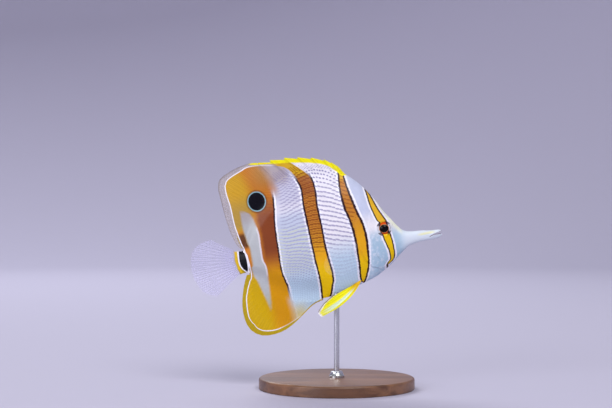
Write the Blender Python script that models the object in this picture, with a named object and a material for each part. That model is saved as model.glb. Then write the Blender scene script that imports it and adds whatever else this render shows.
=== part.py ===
"""Copperband butterflyfish, life size, as a still model on a plain display stand.

The fish is shaped level, in millimetres, in its own frame: X to the snout, Y to its left side,
Z up, with the middle of the body near the origin. It is then bent at the tail, pitched nose up,
raised over the stand and scaled to metres. The part's origin is the centre of the base's underside.
"""

import math

import bmesh
import bpy
import numpy as np
from mathutils import Matrix, Vector

for old in list(bpy.data.objects):
    bpy.data.objects.remove(old, do_unlink=True)

MM = 0.001
GAP = 0.3
HALF_GAP = GAP / 2
MERGE = 1e-4
FAR = 200.0

# Pose over the stand
PITCH_DEG = 11.0
FISH_AT = (-9.0, 0.0, 80.0)
TAIL_BEND_FROM = -28.0
TAIL_BEND = 0.0042

# Flesh: upper and lower outline and half width along the body, from the tail base to the snout
BACK_LINE = (
    (-46.2, 3.0), (-42.5, 2.2), (-40.2, 5.0), (-38.2, 10.5), (-34.5, 18.5), (-28.5, 26.5),
    (-21.0, 32.8), (-12.0, 36.8), (-3.5, 38.3), (4.5, 38.0), (12.5, 36.2), (19.5, 32.8),
    (24.7, 28.0), (29.4, 22.0), (33.1, 15.9), (36.7, 8.7), (39.8, 3.9), (42.4, -0.2),
    (44.8, -3.0), (47.8, -4.4), (55.0, -5.3), (61.0, -6.3), (65.2, -6.5),
)
BELLY_LINE = (
    (-46.2, -10.2), (-42.5, -9.8), (-40.0, -11.2), (-35.1, -16.3), (-29.1, -22.4), (-21.9, -27.4),
    (-14.0, -30.2), (-5.4, -31.2), (3.0, -30.8), (10.9, -29.2), (18.3, -27.3), (25.1, -25.5),
    (30.7, -22.9), (36.7, -19.2), (42.0, -15.2), (47.6, -12.1), (54.9, -11.2), (60.3, -11.3),
    (65.2, -10.7),
)
HALF_WIDTH = (
    (-46.2, 1.0), (-44.6, 1.7), (-42.0, 2.3), (-36.0, 3.0), (-28.0, 4.2), (-18.0, 5.7), (-6.0, 7.3),
    (6.0, 8.2), (18.0, 8.3), (27.0, 7.7), (34.0, 6.3), (40.0, 4.3), (45.0, 2.8),
    (50.0, 2.1), (57.0, 1.7), (61.0, 1.7), (64.0, 1.5), (65.2, 0.9),
)
LENS = ((-46.2, 0.55), (-20.0, 0.72), (15.0, 0.74), (30.0, 0.66), (42.0, 0.52), (65.2, 0.48))
EDGE_HALF = ((-46.2, 0.6), (19.0, 0.6), (26.0, 0.35), (65.2, 0.3))
FIN_BASE_THINNING = 0.9
FIN_BASE_DEPTH = 13.0
FIN_BASE_SHARE = 0.55
BODY_STATIONS = 46
BODY_ROWS = 17
TAIL_BASE_X = -46.2
SNOUT_TIP_X = 65.2

# Cuts that part the flesh, as lines from top to bottom in the side view
STALK_CUT = ((-41.4, 60.0), (-41.4, -60.0))
GILL_CUT = (
    (20.6, 60.0), (20.2, 30.0), (20.0, 12.0), (20.6, -8.0), (22.6, -17.0), (26.6, -23.0), (28.6, -60.0),
)
SNOUT_CUT = ((48.5, 60.0), (46.6, -3.0), (45.6, -12.0), (44.0, -60.0))
JAW_REGION = ((70.0, -8.35), (64.9, -8.75), (60.4, -9.0), (58.7, -9.7), (57.3, -20.0), (70.0, -20.0))
MOUTH_ROOF = ((70.0, -7.0), (64.8, -7.6), (60.2, -8.7), (58.4, -9.5), (57.0, -20.0), (70.0, -20.0))

# Head details
EYE_AT = (34.8, -0.3)
EYE_RADII = (3.6, 2.6, 3.6)
EYE_PROUD = 1.0
NOSTRILS = ((38.7, 1.9), (40.1, 0.6))
NOSTRIL_RADIUS = 0.45
COVER_OUTLINE = (
    (27.4, 7.6), (23.4, 8.6), (20.6, 6.2), (19.7, 0.0), (19.8, -7.0), (21.4, -14.0),
    (24.6, -19.0), (28.0, -20.8), (29.6, -16.6), (29.1, -8.0), (28.7, 0.5),
)
COVER_PROUD = 0.4
COVER_SUNK = 0.9
COVER_POINTS = 26

# Fins: where they grow, and their margins in the side view
SPINE_ROOTS_X = (19.0, 17.4, 15.4, 12.6, 8.4, 3.2, -3.0, -9.8, -16.4)
SPINE_TIPS = (
    (18.2, 35.6), (16.6, 37.9), (14.0, 40.0), (10.6, 42.2), (3.8, 44.6), (-3.4, 46.2),
    (-10.4, 47.3), (-18.3, 47.5), (-25.0, 47.4),
)
DORSAL_PARTING = ((-27.2, 60.0), (-26.7, 47.6), (-18.5, 34.4), (-12.0, 24.0))
SOFT_DORSAL_ROOTS_X = (-18.2, -41.1)
SOFT_DORSAL_MARGIN = (
    (-26.6, 47.7), (-33.0, 47.5), (-38.5, 46.2), (-44.2, 44.1), (-47.4, 42.0), (-48.8, 37.4),
    (-48.5, 30.5), (-47.9, 21.5), (-46.6, 12.2), (-44.9, 6.6), (-43.2, 3.4),
)
ANAL_ROOTS_X = (-5.2, -40.6)
ANAL_MARGIN = (
    (-6.0, -31.9), (-10.5, -33.7), (-15.2, -36.8), (-21.1, -40.8), (-25.7, -43.3), (-29.7, -44.7),
    (-35.3, -45.3), (-40.5, -44.7), (-44.9, -42.0), (-47.4, -37.8), (-48.3, -32.0), (-47.8, -25.7),
    (-45.9, -18.7), (-43.8, -13.6), (-42.4, -11.0),
)
TAIL_ROOTS = ((-46.2, 2.7), (-46.2, -9.9))
TAIL_MARGIN = (
    (-58.2, 11.3), (-64.8, 10.0), (-69.4, 6.6), (-71.6, 0.4), (-71.6, -6.0), (-69.8, -12.2),
    (-66.4, -17.0), (-60.6, -19.4),
)
PELVIC_ROOTS = ((17.4, -25.3), (13.6, -26.6))
PELVIC_MARGIN = ((-1.5, -38.7), (-9.9, -40.8), (-7.2, -36.9), (-2.4, -32.6), (6.0, -29.1))
PELVIC_Y = 1.6
PELVIC_SPLAY = 0.42
PECTORAL_ROOTS = ((18.6, -4.8), (17.3, -10.4))
PECTORAL_LENGTHS = ((0.0, 15.0), (0.12, 20.5), (0.3, 22.0), (0.6, 18.0), (1.0, 9.0))
PECTORAL_FALL_DEG = (10.0, 64.0)
PECTORAL_OPEN_DEG = 20.0
ROOT_SUNK = 0.9

SOFT_DORSAL_RAYS = 29
ANAL_RAYS = 23
TAIL_RAYS = 17
PELVIC_RAYS = 6
PECTORAL_RAYS = 14
FIN_ROOT_HALF = 0.5
FIN_TIP_HALF = 0.28
SPINE_RIDGE = 0.3
RAY_RIDGE = 0.18
SPINE_NOTCH = 0.17
FIN_WAVE = 0.25

# Stand
BASE_RADIUS = 42.0
BASE_HEIGHT = 6.0
BASE_EDGE = 1.2
ROD_RADIUS = 1.5
ROD_IN_BASE = 4.0
ROD_IN_BODY = 5.0
COLLAR_RADII = (4.2, 3.2)
COLLAR_HEIGHT = 3.0

FLESH = (0.86, 0.88, 0.92)
COPPER = (0.80, 0.42, 0.06)
YELLOW = (0.90, 0.72, 0.02)
CLEAR_FIN = (0.72, 0.74, 0.86)
IRIS = (0.03, 0.02, 0.05)
WALNUT = (0.16, 0.09, 0.05)
STEEL = (0.62, 0.63, 0.65)


def smooth_line(points):
    """A function through the points, in order of their first number, that doesn't overshoot them."""
    xs = np.array([p[0] for p in points], float)
    ys = np.array([p[1] for p in points], float)
    steps = np.diff(xs)
    slopes = np.diff(ys) / steps
    tangents = np.concatenate([[slopes[0]], np.zeros(len(xs) - 2), [slopes[-1]]])
    for k in range(1, len(xs) - 1):
        if slopes[k - 1] * slopes[k] > 0:
            before, after = 2 * steps[k] + steps[k - 1], steps[k] + 2 * steps[k - 1]
            tangents[k] = (before + after) / (before / slopes[k - 1] + after / slopes[k])

    def value(x):
        x = min(max(x, xs[0]), xs[-1])
        k = min(int(np.searchsorted(xs, x, "right")) - 1, len(xs) - 2)
        t = (x - xs[k]) / steps[k]
        rise = (1 + 2 * t) * (1 - t) ** 2 * ys[k] + t * t * (3 - 2 * t) * ys[k + 1]
        return rise + steps[k] * (t * (1 - t) ** 2 * tangents[k] - t * t * (1 - t) * tangents[k + 1])

    return value


back_z = smooth_line(BACK_LINE)
belly_z = smooth_line(BELLY_LINE)
half_width = smooth_line(HALF_WIDTH)
lens_power = smooth_line(LENS)
edge_half = smooth_line(EDGE_HALF)


def catmull(a, b, c, d, t):
    """A point between b and c on the Catmull-Rom curve through four points."""
    a, b, c, d = (np.array(p, float) for p in (a, b, c, d))
    return (2 * b + (c - a) * t + (2 * a - 5 * b + 4 * c - d) * t * t
            + (3 * b - a - 3 * c + d) * t ** 3) / 2


def by_length(line, count):
    """Points evenly spaced by length along a fine polyline."""
    line = np.array(line, float)
    travel = np.concatenate([[0], np.cumsum(np.linalg.norm(np.diff(line, axis=0), axis=1))])
    wanted = np.linspace(0, travel[-1], count)
    return [np.array([np.interp(w, travel, line[:, 0]), np.interp(w, travel, line[:, 1])]) for w in wanted]


def margin_points(points, count):
    """Points evenly spaced by length on a smooth open curve through the given points."""
    first, last = np.array(points[0], float), np.array(points[-1], float)
    ends = [2 * first - points[1], *points, 2 * last - points[-2]]
    fine = [catmull(*ends[k:k + 4], t) for k in range(len(points) - 1) for t in np.linspace(0, 1, 24)]
    return by_length(fine, count)


def closed_curve(points, count):
    """Points round a closed smooth curve through the given points."""
    total = len(points)
    places = [n * total / count for n in range(count)]
    return [tuple(catmull(*(points[(int(p) + m) % total] for m in (-1, 0, 1, 2)), p % 1)) for p in places]


def off_edge(line_z, side, x):
    """The point just clear of the body's outline at x, above it for side 1 and below it for side -1."""
    slope = (line_z(x + 0.05) - line_z(x - 0.05)) / 0.1
    away = np.array([-slope, 1.0]) * side * GAP / math.hypot(slope, 1.0)
    return np.array([x, line_z(x)]) + away


def even_roots(line_z, side, span, count):
    """Root points just clear of the body's outline, evenly spaced by length."""
    return by_length([off_edge(line_z, side, x) for x in np.linspace(*span, 160)], count)


def falling(value, width):
    """1 up to the value 0 and 0 past the width, with a smooth fall between them."""
    t = min(max(value / width, 0.0), 1.0)
    return 1 - t * t * (3 - 2 * t)


def fin_base(x, z):
    """How much the flank has thinned towards the long fins at a point of the side view."""
    depth = min(FIN_BASE_DEPTH, FIN_BASE_SHARE * (back_z(x) - belly_z(x)) / 2)
    by_back = falling(back_z(x) - z, depth) * falling(x - 10.0, 10.0)
    by_belly = falling(z - belly_z(x), depth) * falling(x + 9.0, 11.0)
    return FIN_BASE_THINNING * max(by_back, by_belly) * (1 - falling(x + 43.0, 3.0))


def flank(x, turn, grow=0.0):
    """(half thickness, height) of the flesh at station x, from the back (turn 0) to the belly (turn 1)."""
    angle = math.pi * turn
    middle, half = (back_z(x) + belly_z(x)) / 2, (back_z(x) - belly_z(x)) / 2 + grow
    edge = edge_half(x)
    z = middle + half * math.cos(angle)
    bulge = math.sin(angle) ** (2 * lens_power(x)) * (1 - fin_base(x, z))
    return edge + (half_width(x) + grow - edge) * bulge, z


def flank_y(x, z):
    """Half thickness of the flesh at a point of its side view."""
    middle, half = (back_z(x) + belly_z(x)) / 2, (back_z(x) - belly_z(x)) / 2
    turn = math.acos(max(-1.0, min(1.0, (z - middle) / half))) / math.pi
    return flank(x, turn)[0]


PITCH = Matrix.Rotation(-math.radians(PITCH_DEG), 4, "Y")
POSE = Matrix.Translation(FISH_AT) @ PITCH


def posed(point):
    """A point of the level fish, in millimetres, in the part's frame, in metres."""
    bend = TAIL_BEND * max(0.0, TAIL_BEND_FROM - point.x) ** 2
    return (POSE @ Vector((point.x, point.y + bend, point.z))) * MM


def upright(point):
    """A point of the stand, in millimetres, in the part's frame, in metres."""
    return Vector(point) * MM


def mirrored_sheet(columns, rows, place):
    """A closed bmesh: a grid on the +Y side, whose border lies at Y 0, and its mirror image."""
    bm = bmesh.new()
    bmesh.ops.create_grid(bm, x_segments=columns - 1, y_segments=rows - 1, size=1)
    for v in bm.verts:
        i = round((v.co.x + 1) / 2 * (columns - 1))
        j = round((v.co.y + 1) / 2 * (rows - 1))
        v.co = place(i, j)
    bmesh.ops.remove_doubles(bm, verts=bm.verts, dist=MERGE)
    bmesh.ops.dissolve_degenerate(bm, edges=bm.edges, dist=MERGE)
    bmesh.ops.triangulate(bm, faces=bm.faces)
    bmesh.ops.mirror(bm, geom=bm.verts[:] + bm.edges[:] + bm.faces[:], axis="Y", merge_dist=MERGE)
    bmesh.ops.remove_doubles(bm, verts=bm.verts, dist=MERGE)
    bmesh.ops.recalc_face_normals(bm, faces=bm.faces)
    return bm


def body_stations():
    """Stations along the body, closer together where the outline is steep."""
    xs = np.linspace(TAIL_BASE_X, SNOUT_TIP_X, 500)
    rises = [np.abs(np.diff([f(x) for x in xs])) for f in (back_z, belly_z)]
    travel = np.concatenate([[0], np.cumsum(np.diff(xs) + rises[0] + rises[1])])
    return np.interp(np.linspace(0, travel[-1], BODY_STATIONS), travel, xs)


STATIONS = body_stations()


def flesh(grow=0.0):
    """The whole body from the tail base to the jaws, as one closed bmesh, moved out by grow."""
    def place(i, j):
        x = STATIONS[min(max(i - 1, 0), BODY_STATIONS - 1)]
        y, z = flank(x, min(max(j - 1, 0), BODY_ROWS - 1) / (BODY_ROWS - 1), grow)
        if i in (0, BODY_STATIONS + 1) or j in (0, BODY_ROWS + 1):
            y = 0.0
        return x, y, z

    return mirrored_sheet(BODY_STATIONS + 2, BODY_ROWS + 2, place)


def prism(outline, low=-FAR, high=FAR):
    """A closed bmesh: a side-view outline drawn out along Y."""
    bm = bmesh.new()
    face = bm.faces.new([bm.verts.new((x, low, z)) for x, z in outline])
    made = bmesh.ops.extrude_face_region(bm, geom=[face])
    moved = [g for g in made["geom"] if isinstance(g, bmesh.types.BMVert)]
    bmesh.ops.translate(bm, verts=moved, vec=(0, high - low, 0))
    bmesh.ops.recalc_face_normals(bm, faces=bm.faces)
    return bm


def past(line, way):
    """A prism of all that lies past a cut line, ahead of it for way 1 and behind it for way -1."""
    edge = [(x - way * HALF_GAP, z) for x, z in line]
    return prism(edge + [(way * FAR, edge[-1][1]), (way * FAR, edge[0][1])])


def ball(centre, radii, segments, rings):
    """A closed bmesh: an ellipsoid with its poles along Y."""
    bm = bmesh.new()
    bmesh.ops.create_uvsphere(bm, u_segments=segments, v_segments=rings, radius=1)
    turn = Matrix.Rotation(math.pi / 2, 4, "X")
    shape = Matrix.Translation(centre) @ Matrix.Diagonal((*radii, 1)) @ turn
    bmesh.ops.transform(bm, matrix=shape, verts=bm.verts)
    return bm


def drum(low, high, radii, segments):
    """A closed bmesh: an upright cylinder or cone on the stand's axis."""
    bm = bmesh.new()
    bmesh.ops.create_cone(bm, cap_ends=True, segments=segments, radius1=radii[0], radius2=radii[1],
                          depth=high - low)
    bmesh.ops.translate(bm, verts=bm.verts, vec=(0, 0, (low + high) / 2))
    return bm


def scratch_object(bm):
    mesh = bpy.data.meshes.new("scratch")
    bm.to_mesh(mesh)
    bm.free()
    made = bpy.data.objects.new("scratch", mesh)
    bpy.context.scene.collection.objects.link(made)
    return made


def combined(target, tool, operation, solver="EXACT"):
    """The bmesh of two closed bmeshes joined by an applied Boolean; both are used up."""
    first, second = scratch_object(target), scratch_object(tool)
    cut = first.modifiers.new("cut", "BOOLEAN")
    cut.operation = operation
    cut.solver = solver
    cut.object = second
    bpy.context.view_layer.update()
    evaluated = first.evaluated_get(bpy.context.evaluated_depsgraph_get())
    bm = bmesh.new()
    bm.from_mesh(evaluated.to_mesh())
    evaluated.to_mesh_clear()
    for used in (first, second):
        bpy.data.meshes.remove(used.data)
    bmesh.ops.remove_doubles(bm, verts=bm.verts, dist=MERGE)
    return bm


def without(target, *cutters):
    """The bmesh with each cutter taken away."""
    for cutter in cutters:
        target = combined(target, cutter, "DIFFERENCE")
    return target


def largest(bm):
    """The bmesh with only its largest closed surface kept."""
    left, islands = set(bm.faces), []
    while left:
        island, rim = set(), {left.pop()}
        while rim:
            island |= rim
            rim = {f for face in rim for e in face.edges for f in e.link_faces} - island
        left -= island
        islands.append(island)
    islands.sort(key=len)
    scraps = [face for island in islands[:-1] for face in island]
    bmesh.ops.delete(bm, geom=scraps, context="FACES")
    return bm


def material(name, colour, roughness, metallic=0.0):
    made = bpy.data.materials.new(name)
    made.use_nodes = True
    shader = made.node_tree.nodes["Principled BSDF"]
    shader.inputs["Base Color"].default_value = (*colour, 1.0)
    shader.inputs["Roughness"].default_value = roughness
    shader.inputs["Metallic"].default_value = metallic
    return made


model = bpy.data.collections.new("copperband_butterflyfish")
bpy.context.scene.collection.children.link(model)


def node(name, bm, colour, roughness=0.4, metallic=0.0, place=posed):
    """A named object of the model from a bmesh in millimetres, which is used up."""
    for v in bm.verts:
        v.co = place(v.co)
    mesh = bpy.data.meshes.new(name)
    bm.to_mesh(mesh)
    bm.free()
    mesh.shade_smooth()
    mesh.set_sharp_from_angle(angle=math.radians(40))
    mesh.materials.append(material(name, colour, roughness, metallic))
    model.objects.link(bpy.data.objects.new(name, mesh))


def grown(outline, margin):
    """A closed outline moved away from its middle by a margin."""
    middle = np.mean(outline, axis=0)
    arms = [np.array(p) - middle for p in outline]
    return [tuple(middle + arm * (1 + margin / np.linalg.norm(arm))) for arm in arms]


def cover_prism(side, margin=0.0):
    """A prism over the gill cover's outline, on one side of the fish."""
    outline = grown(closed_curve(COVER_OUTLINE, COVER_POINTS), margin)
    return prism(outline, *sorted((side * 1.0, side * 20.0)))


def cover_pocket(side):
    """What the flesh leaves free for a gill cover."""
    return combined(cover_prism(side, GAP), flesh(-COVER_SUNK - GAP), "DIFFERENCE")


def gill_cover(side):
    plate = combined(cover_prism(side), flesh(COVER_PROUD), "INTERSECT")
    return without(plate, flesh(-COVER_SUNK))


def eye_ball(side, clearance=0.0):
    x, z = EYE_AT
    y = side * (flank_y(x, z) + EYE_PROUD - EYE_RADII[1])
    return ball((x, y, z), [r + clearance for r in EYE_RADII], 18, 10)


def nostril(side, x, z):
    return ball((x, side * flank_y(x, z), z), (NOSTRIL_RADIUS,) * 3, 10, 6)


def rod_height_at_belly():
    """Height above the floor at which the stand's axis meets the belly."""
    for step in range(2000):
        height = step * 0.05
        point = POSE.inverted() @ Vector((0, 0, height))
        if point.z > belly_z(point.x):
            return height
    return None


def rod(clearance=0.0):
    top = rod_height_at_belly() + ROD_IN_BODY + clearance
    return drum(BASE_HEIGHT - ROD_IN_BASE - clearance, top, (ROD_RADIUS + clearance,) * 2, 20)


def rod_socket():
    """The space for the rod, in the level fish's frame."""
    bm = rod(GAP)
    bmesh.ops.transform(bm, matrix=POSE.inverted(), verts=bm.verts)
    return bm


def torso():
    pockets = [cover_pocket(side) for side in (-1, 1)]
    return without(flesh(), past(GILL_CUT, 1), past(STALK_CUT, -1), *pockets, rod_socket())


def head():
    hollows = [f(side) for side in (-1, 1) for f in (lambda s: eye_ball(s, GAP), cover_pocket)]
    pits = [nostril(side, x, z) for side in (-1, 1) for x, z in NOSTRILS]
    return without(flesh(), past(GILL_CUT, -1), past(SNOUT_CUT, 1), *hollows, *pits)


def snout():
    return without(flesh(), past(SNOUT_CUT, -1), prism(MOUTH_ROOF))


def lower_jaw():
    return combined(flesh(), prism(JAW_REGION), "INTERSECT")


def fin_sheet(rays, sections, ridge, notch=0.0, foot=0.22, ends=(0.0, 0.0), bows=(0.0, 0.0)):
    """A fin in the XZ plane, as a closed bmesh. Each ray is a root point and a tip point. A ridge raises
    each ray from the membrane, whose edge dips between the tips by the notch, a share of the ray. The
    sheet goes past its first and last ray by the ends, in ray spacings, and the bows bend its rays."""
    count = len(rays)
    columns = [(-ends[0], 0.0, notch)] if ends[0] > foot else []
    for k in range(count):
        if ridge:
            columns += [(k - foot, 0.0, notch * 0.6), (k, ridge, 0.0), (k + foot, 0.0, notch * 0.6)]
        else:
            columns.append((k, 0.0, 0.0))
        if notch and k < count - 1:
            columns.append((k + 0.5, 0.0, notch))
    if ends[1] > foot:
        columns.append((count - 1 + ends[1], 0.0, notch))
    total = len(columns)

    def place(i, j):
        where, height, dip = columns[min(max(i - 1, 0), total - 1)]
        k = min(max(int(math.floor(where)), 0), count - 2)
        root, tip = (rays[k][m] * (1 - where + k) + rays[k + 1][m] * (where - k) for m in (0, 1))
        along = min(max(j - 1, 0), sections - 1) / (sections - 1)
        reach = along * (1 - dip)
        bow = bows[0] + (bows[1] - bows[0]) * where / (count - 1)
        across = np.array([-(tip - root)[1], (tip - root)[0]]) * bow * 4 * reach * (1 - reach)
        point = root + (tip - root) * reach + across
        half = FIN_ROOT_HALF + (FIN_TIP_HALF - FIN_ROOT_HALF) * along + height * (1 - 0.5 * along)
        if j == sections + 1:
            point = point + (tip - root) / np.linalg.norm(tip - root) * FIN_TIP_HALF
        if i in (0, total + 1) or j in (0, sections + 1):
            half = 0.0
        return point[0], half, point[1]

    return mirrored_sheet(total + 2, sections + 2, place)


def waved(bm):
    """A median fin with the faint waves of a relaxed membrane."""
    for v in bm.verts:
        v.co.y += FIN_WAVE * math.sin(0.32 * v.co.x + 0.21 * v.co.z)
    return bm


def spiny_dorsal():
    roots = [off_edge(back_z, 1, x) for x in SPINE_ROOTS_X]
    rays = list(zip(roots, [np.array(tip) for tip in SPINE_TIPS]))
    sheet = fin_sheet(rays, 4, SPINE_RIDGE, SPINE_NOTCH, foot=0.16, ends=(0.0, 0.45))
    return waved(without(sheet, past(DORSAL_PARTING, -1)))


def soft_dorsal():
    roots = even_roots(back_z, 1, SOFT_DORSAL_ROOTS_X, SOFT_DORSAL_RAYS)
    rays = list(zip(roots, margin_points(SOFT_DORSAL_MARGIN, SOFT_DORSAL_RAYS)))
    sheet = fin_sheet(rays, 4, RAY_RIDGE, ends=(0.8, 0.0))
    return waved(without(sheet, past(DORSAL_PARTING, 1)))


def anal_fin():
    roots = even_roots(belly_z, -1, ANAL_ROOTS_X, ANAL_RAYS)
    return waved(fin_sheet(list(zip(roots, margin_points(ANAL_MARGIN, ANAL_RAYS))), 4, RAY_RIDGE))


def tail_fin():
    top, bottom = (np.array(p) - (GAP, 0.0) for p in TAIL_ROOTS)
    roots = by_length([top, bottom], TAIL_RAYS)
    return waved(fin_sheet(list(zip(roots, margin_points(TAIL_MARGIN, TAIL_RAYS))), 4, RAY_RIDGE))


def pelvic_fin(side):
    """A pelvic fin, which slants outwards below the belly."""
    roots = by_length(PELVIC_ROOTS, PELVIC_RAYS)
    rays = list(zip(roots, margin_points(PELVIC_MARGIN, PELVIC_RAYS)))
    bm = fin_sheet(rays, 5, RAY_RIDGE, bows=(0.09, 0.02))
    for v in bm.verts:
        v.co.y += side * (PELVIC_Y + PELVIC_SPLAY * (PELVIC_ROOTS[0][1] - v.co.z))
    return without(bm, flesh(GAP))


def pectoral_fin(side):
    """A pectoral fin, which opens from its base away from the flank."""
    length = smooth_line(PECTORAL_LENGTHS)
    roots = by_length(PECTORAL_ROOTS, PECTORAL_RAYS)
    rays = []
    for k, root in enumerate(roots):
        share = k / (PECTORAL_RAYS - 1)
        fall = math.radians(PECTORAL_FALL_DEG[0] + (PECTORAL_FALL_DEG[1] - PECTORAL_FALL_DEG[0]) * share)
        way = np.array([-math.cos(fall), -math.sin(fall)])
        rays.append((root - way * ROOT_SUNK * 2, root + way * length(share)))
    bm = fin_sheet(rays, 4, RAY_RIDGE)
    base = np.mean(PECTORAL_ROOTS, axis=0)
    hinge = (base[0], side * flank_y(*base), base[1])
    opened = Matrix.Rotation(-side * math.radians(PECTORAL_OPEN_DEG), 4, "Z")
    shape = Matrix.Translation(hinge) @ opened @ Matrix.Translation((-base[0], 0, -base[1]))
    bmesh.ops.transform(bm, matrix=shape, verts=bm.verts)
    return largest(combined(bm, flesh(GAP), "DIFFERENCE", "MANIFOLD"))


def stand_base():
    bm = drum(0.0, BASE_HEIGHT, (BASE_RADIUS,) * 2, 64)
    rim = [e for e in bm.edges if all(v.co.z > BASE_HEIGHT - MERGE for v in e.verts)]
    bmesh.ops.bevel(bm, geom=rim, offset=BASE_EDGE, segments=3, profile=0.5, affect="EDGES", material=-1)
    return without(bm, rod(GAP))


def stand_collar():
    low = BASE_HEIGHT + GAP
    return without(drum(low, low + COLLAR_HEIGHT, COLLAR_RADII, 32), rod(GAP))


node("torso", torso(), FLESH)
node("head", head(), FLESH)
node("snout", snout(), FLESH)
node("lower_jaw", lower_jaw(), FLESH)
node("tail_stalk", without(flesh(), past(STALK_CUT, 1)), FLESH)
node("dorsal_fin_spiny", spiny_dorsal(), YELLOW)
node("dorsal_fin_soft", soft_dorsal(), COPPER)
node("anal_fin", anal_fin(), YELLOW)
node("tail_fin", tail_fin(), CLEAR_FIN)
for side, word in ((1, "left"), (-1, "right")):
    node(f"gill_cover_{word}", gill_cover(side), FLESH)
    node(f"eye_{word}", eye_ball(side), IRIS, 0.05)
    node(f"pelvic_fin_{word}", pelvic_fin(side), YELLOW)
    node(f"pectoral_fin_{word}", pectoral_fin(side), CLEAR_FIN)
node("stand_base", stand_base(), WALNUT, 0.35, place=upright)
node("stand_collar", stand_collar(), STEEL, 0.25, 1.0, upright)
node("stand_rod", rod(), STEEL, 0.25, 1.0, upright)
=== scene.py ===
# %% [markdown]
# # A copperband butterflyfish on a plain stand
#
# The block model says where every part of the fish is. This lesson gives it a skin, scales, rayed
# fins, eyes and its bars, and sets it on a walnut base under soft light. All shaping is done on a level
# fish, in millimetres, with X to the snout, Y to its left side and Z up. One function then poses each
# finished piece over the stand, so a number here can be held against a ruler laid on the fish.

import math

import bmesh
import bpy
import numpy as np
from mathutils import Matrix, Vector


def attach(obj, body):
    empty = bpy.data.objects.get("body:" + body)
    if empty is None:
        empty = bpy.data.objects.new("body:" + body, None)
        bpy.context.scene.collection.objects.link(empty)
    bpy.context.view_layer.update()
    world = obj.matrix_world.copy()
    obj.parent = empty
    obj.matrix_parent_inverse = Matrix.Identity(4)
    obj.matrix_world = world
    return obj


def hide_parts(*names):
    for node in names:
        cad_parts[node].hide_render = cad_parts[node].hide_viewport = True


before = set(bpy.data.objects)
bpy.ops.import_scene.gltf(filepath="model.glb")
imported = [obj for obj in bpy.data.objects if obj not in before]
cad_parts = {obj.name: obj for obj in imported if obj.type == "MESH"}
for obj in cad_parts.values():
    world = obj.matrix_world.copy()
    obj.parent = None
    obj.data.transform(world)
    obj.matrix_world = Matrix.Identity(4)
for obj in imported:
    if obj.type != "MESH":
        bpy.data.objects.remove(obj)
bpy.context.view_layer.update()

# %% [markdown]
# ## The pose
#
# The fish swims nose up by eleven degrees and its tail sweeps a little to its left. A bend that grows
# with the square of the distance is what a muscle makes, and it leaves the side view unchanged, so
# markings can be drawn in that view alone.

# %% Pose
MM = 0.001
PITCH = math.radians(11.0)
FISH_AT = Vector((-9.0, 0.0, 80.0))
TAIL_BEND_FROM = -28.0
TAIL_BEND = 0.0042
POSE = Matrix.Translation(FISH_AT) @ Matrix.Rotation(-PITCH, 4, "Y")


def posed(points):
    """Points of the level fish, in millimetres, in the frame of the block model, in metres."""
    points = np.array(points, float)
    points[:, 1] += TAIL_BEND * np.clip(TAIL_BEND_FROM - points[:, 0], 0, None) ** 2
    pose = np.array(POSE)
    return (points @ pose[:3, :3].T + pose[:3, 3]) * MM


def upright(points):
    """Points of the stand, in millimetres, in the frame of the block model, in metres."""
    return np.array(points, float) * MM


# %% [markdown]
# ## Lines through a few points
#
# A fish's outline has no corners and no ripples. A cubic that never passes beyond the heights of its
# own points keeps it so, where a plain spline would bulge between them.

# %% Smooth lines
def smooth_line(points):
    """A function through the points, in order of their first number, that doesn't overshoot them."""
    xs, ys = np.array(points, float).T
    steps = np.diff(xs)
    slopes = np.diff(ys) / steps
    before, after = 2 * steps[1:] + steps[:-1], steps[1:] + 2 * steps[:-1]
    rising = slopes[:-1] * slopes[1:] > 0
    first, second = np.where(rising, slopes[:-1], 1), np.where(rising, slopes[1:], 1)
    inner = np.where(rising, (before + after) / (before / first + after / second), 0)
    tangents = np.concatenate([[slopes[0]], inner, [slopes[-1]]])

    def value(x):
        x = np.clip(x, xs[0], xs[-1])
        k = np.clip(np.searchsorted(xs, x, "right") - 1, 0, len(xs) - 2)
        t = (x - xs[k]) / steps[k]
        rise = (1 + 2 * t) * (1 - t) ** 2 * ys[k] + t * t * (3 - 2 * t) * ys[k + 1]
        return rise + steps[k] * (t * (1 - t) ** 2 * tangents[k] - t * t * (1 - t) * tangents[k + 1])

    return value


def catmull(a, b, c, d, t):
    """A point between b and c on the Catmull-Rom curve through four points."""
    a, b, c, d = (np.array(p, float) for p in (a, b, c, d))
    return (2 * b + (c - a) * t + (2 * a - 5 * b + 4 * c - d) * t * t
            + (3 * b - a - 3 * c + d) * t ** 3) / 2


def lengths_along(line):
    """How far along a polyline each of its points lies."""
    return np.concatenate([[0], np.cumsum(np.linalg.norm(np.diff(line, axis=0), axis=1))])


def at_lengths(line, travel, wanted):
    """The points of a polyline at the wanted lengths along it."""
    return np.stack([np.interp(wanted, travel, line[:, k]) for k in range(line.shape[1])], axis=1)


def by_length(line, count):
    """Points evenly spaced by length along a fine polyline."""
    line = np.array(line, float)
    travel = lengths_along(line)
    return at_lengths(line, travel, np.linspace(0, travel[-1], count))


def margin_points(points, count):
    """Points evenly spaced by length on a smooth open curve through the given points."""
    first, last = np.array(points[0], float), np.array(points[-1], float)
    ends = [2 * first - points[1], *points, 2 * last - points[-2]]
    fine = [catmull(*ends[k:k + 4], t) for k in range(len(points) - 1) for t in np.linspace(0, 1, 24)]
    return by_length(fine, count)


def smooth_step(value, low, high):
    """0 below low and 1 above high, with a smooth rise between them."""
    t = np.clip((value - low) / (high - low), 0, 1)
    return t * t * (3 - 2 * t)


def bump(distance, width):
    """A smooth hump of height 1 that fades over the width."""
    return np.exp(-(distance / width) ** 2)


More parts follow.
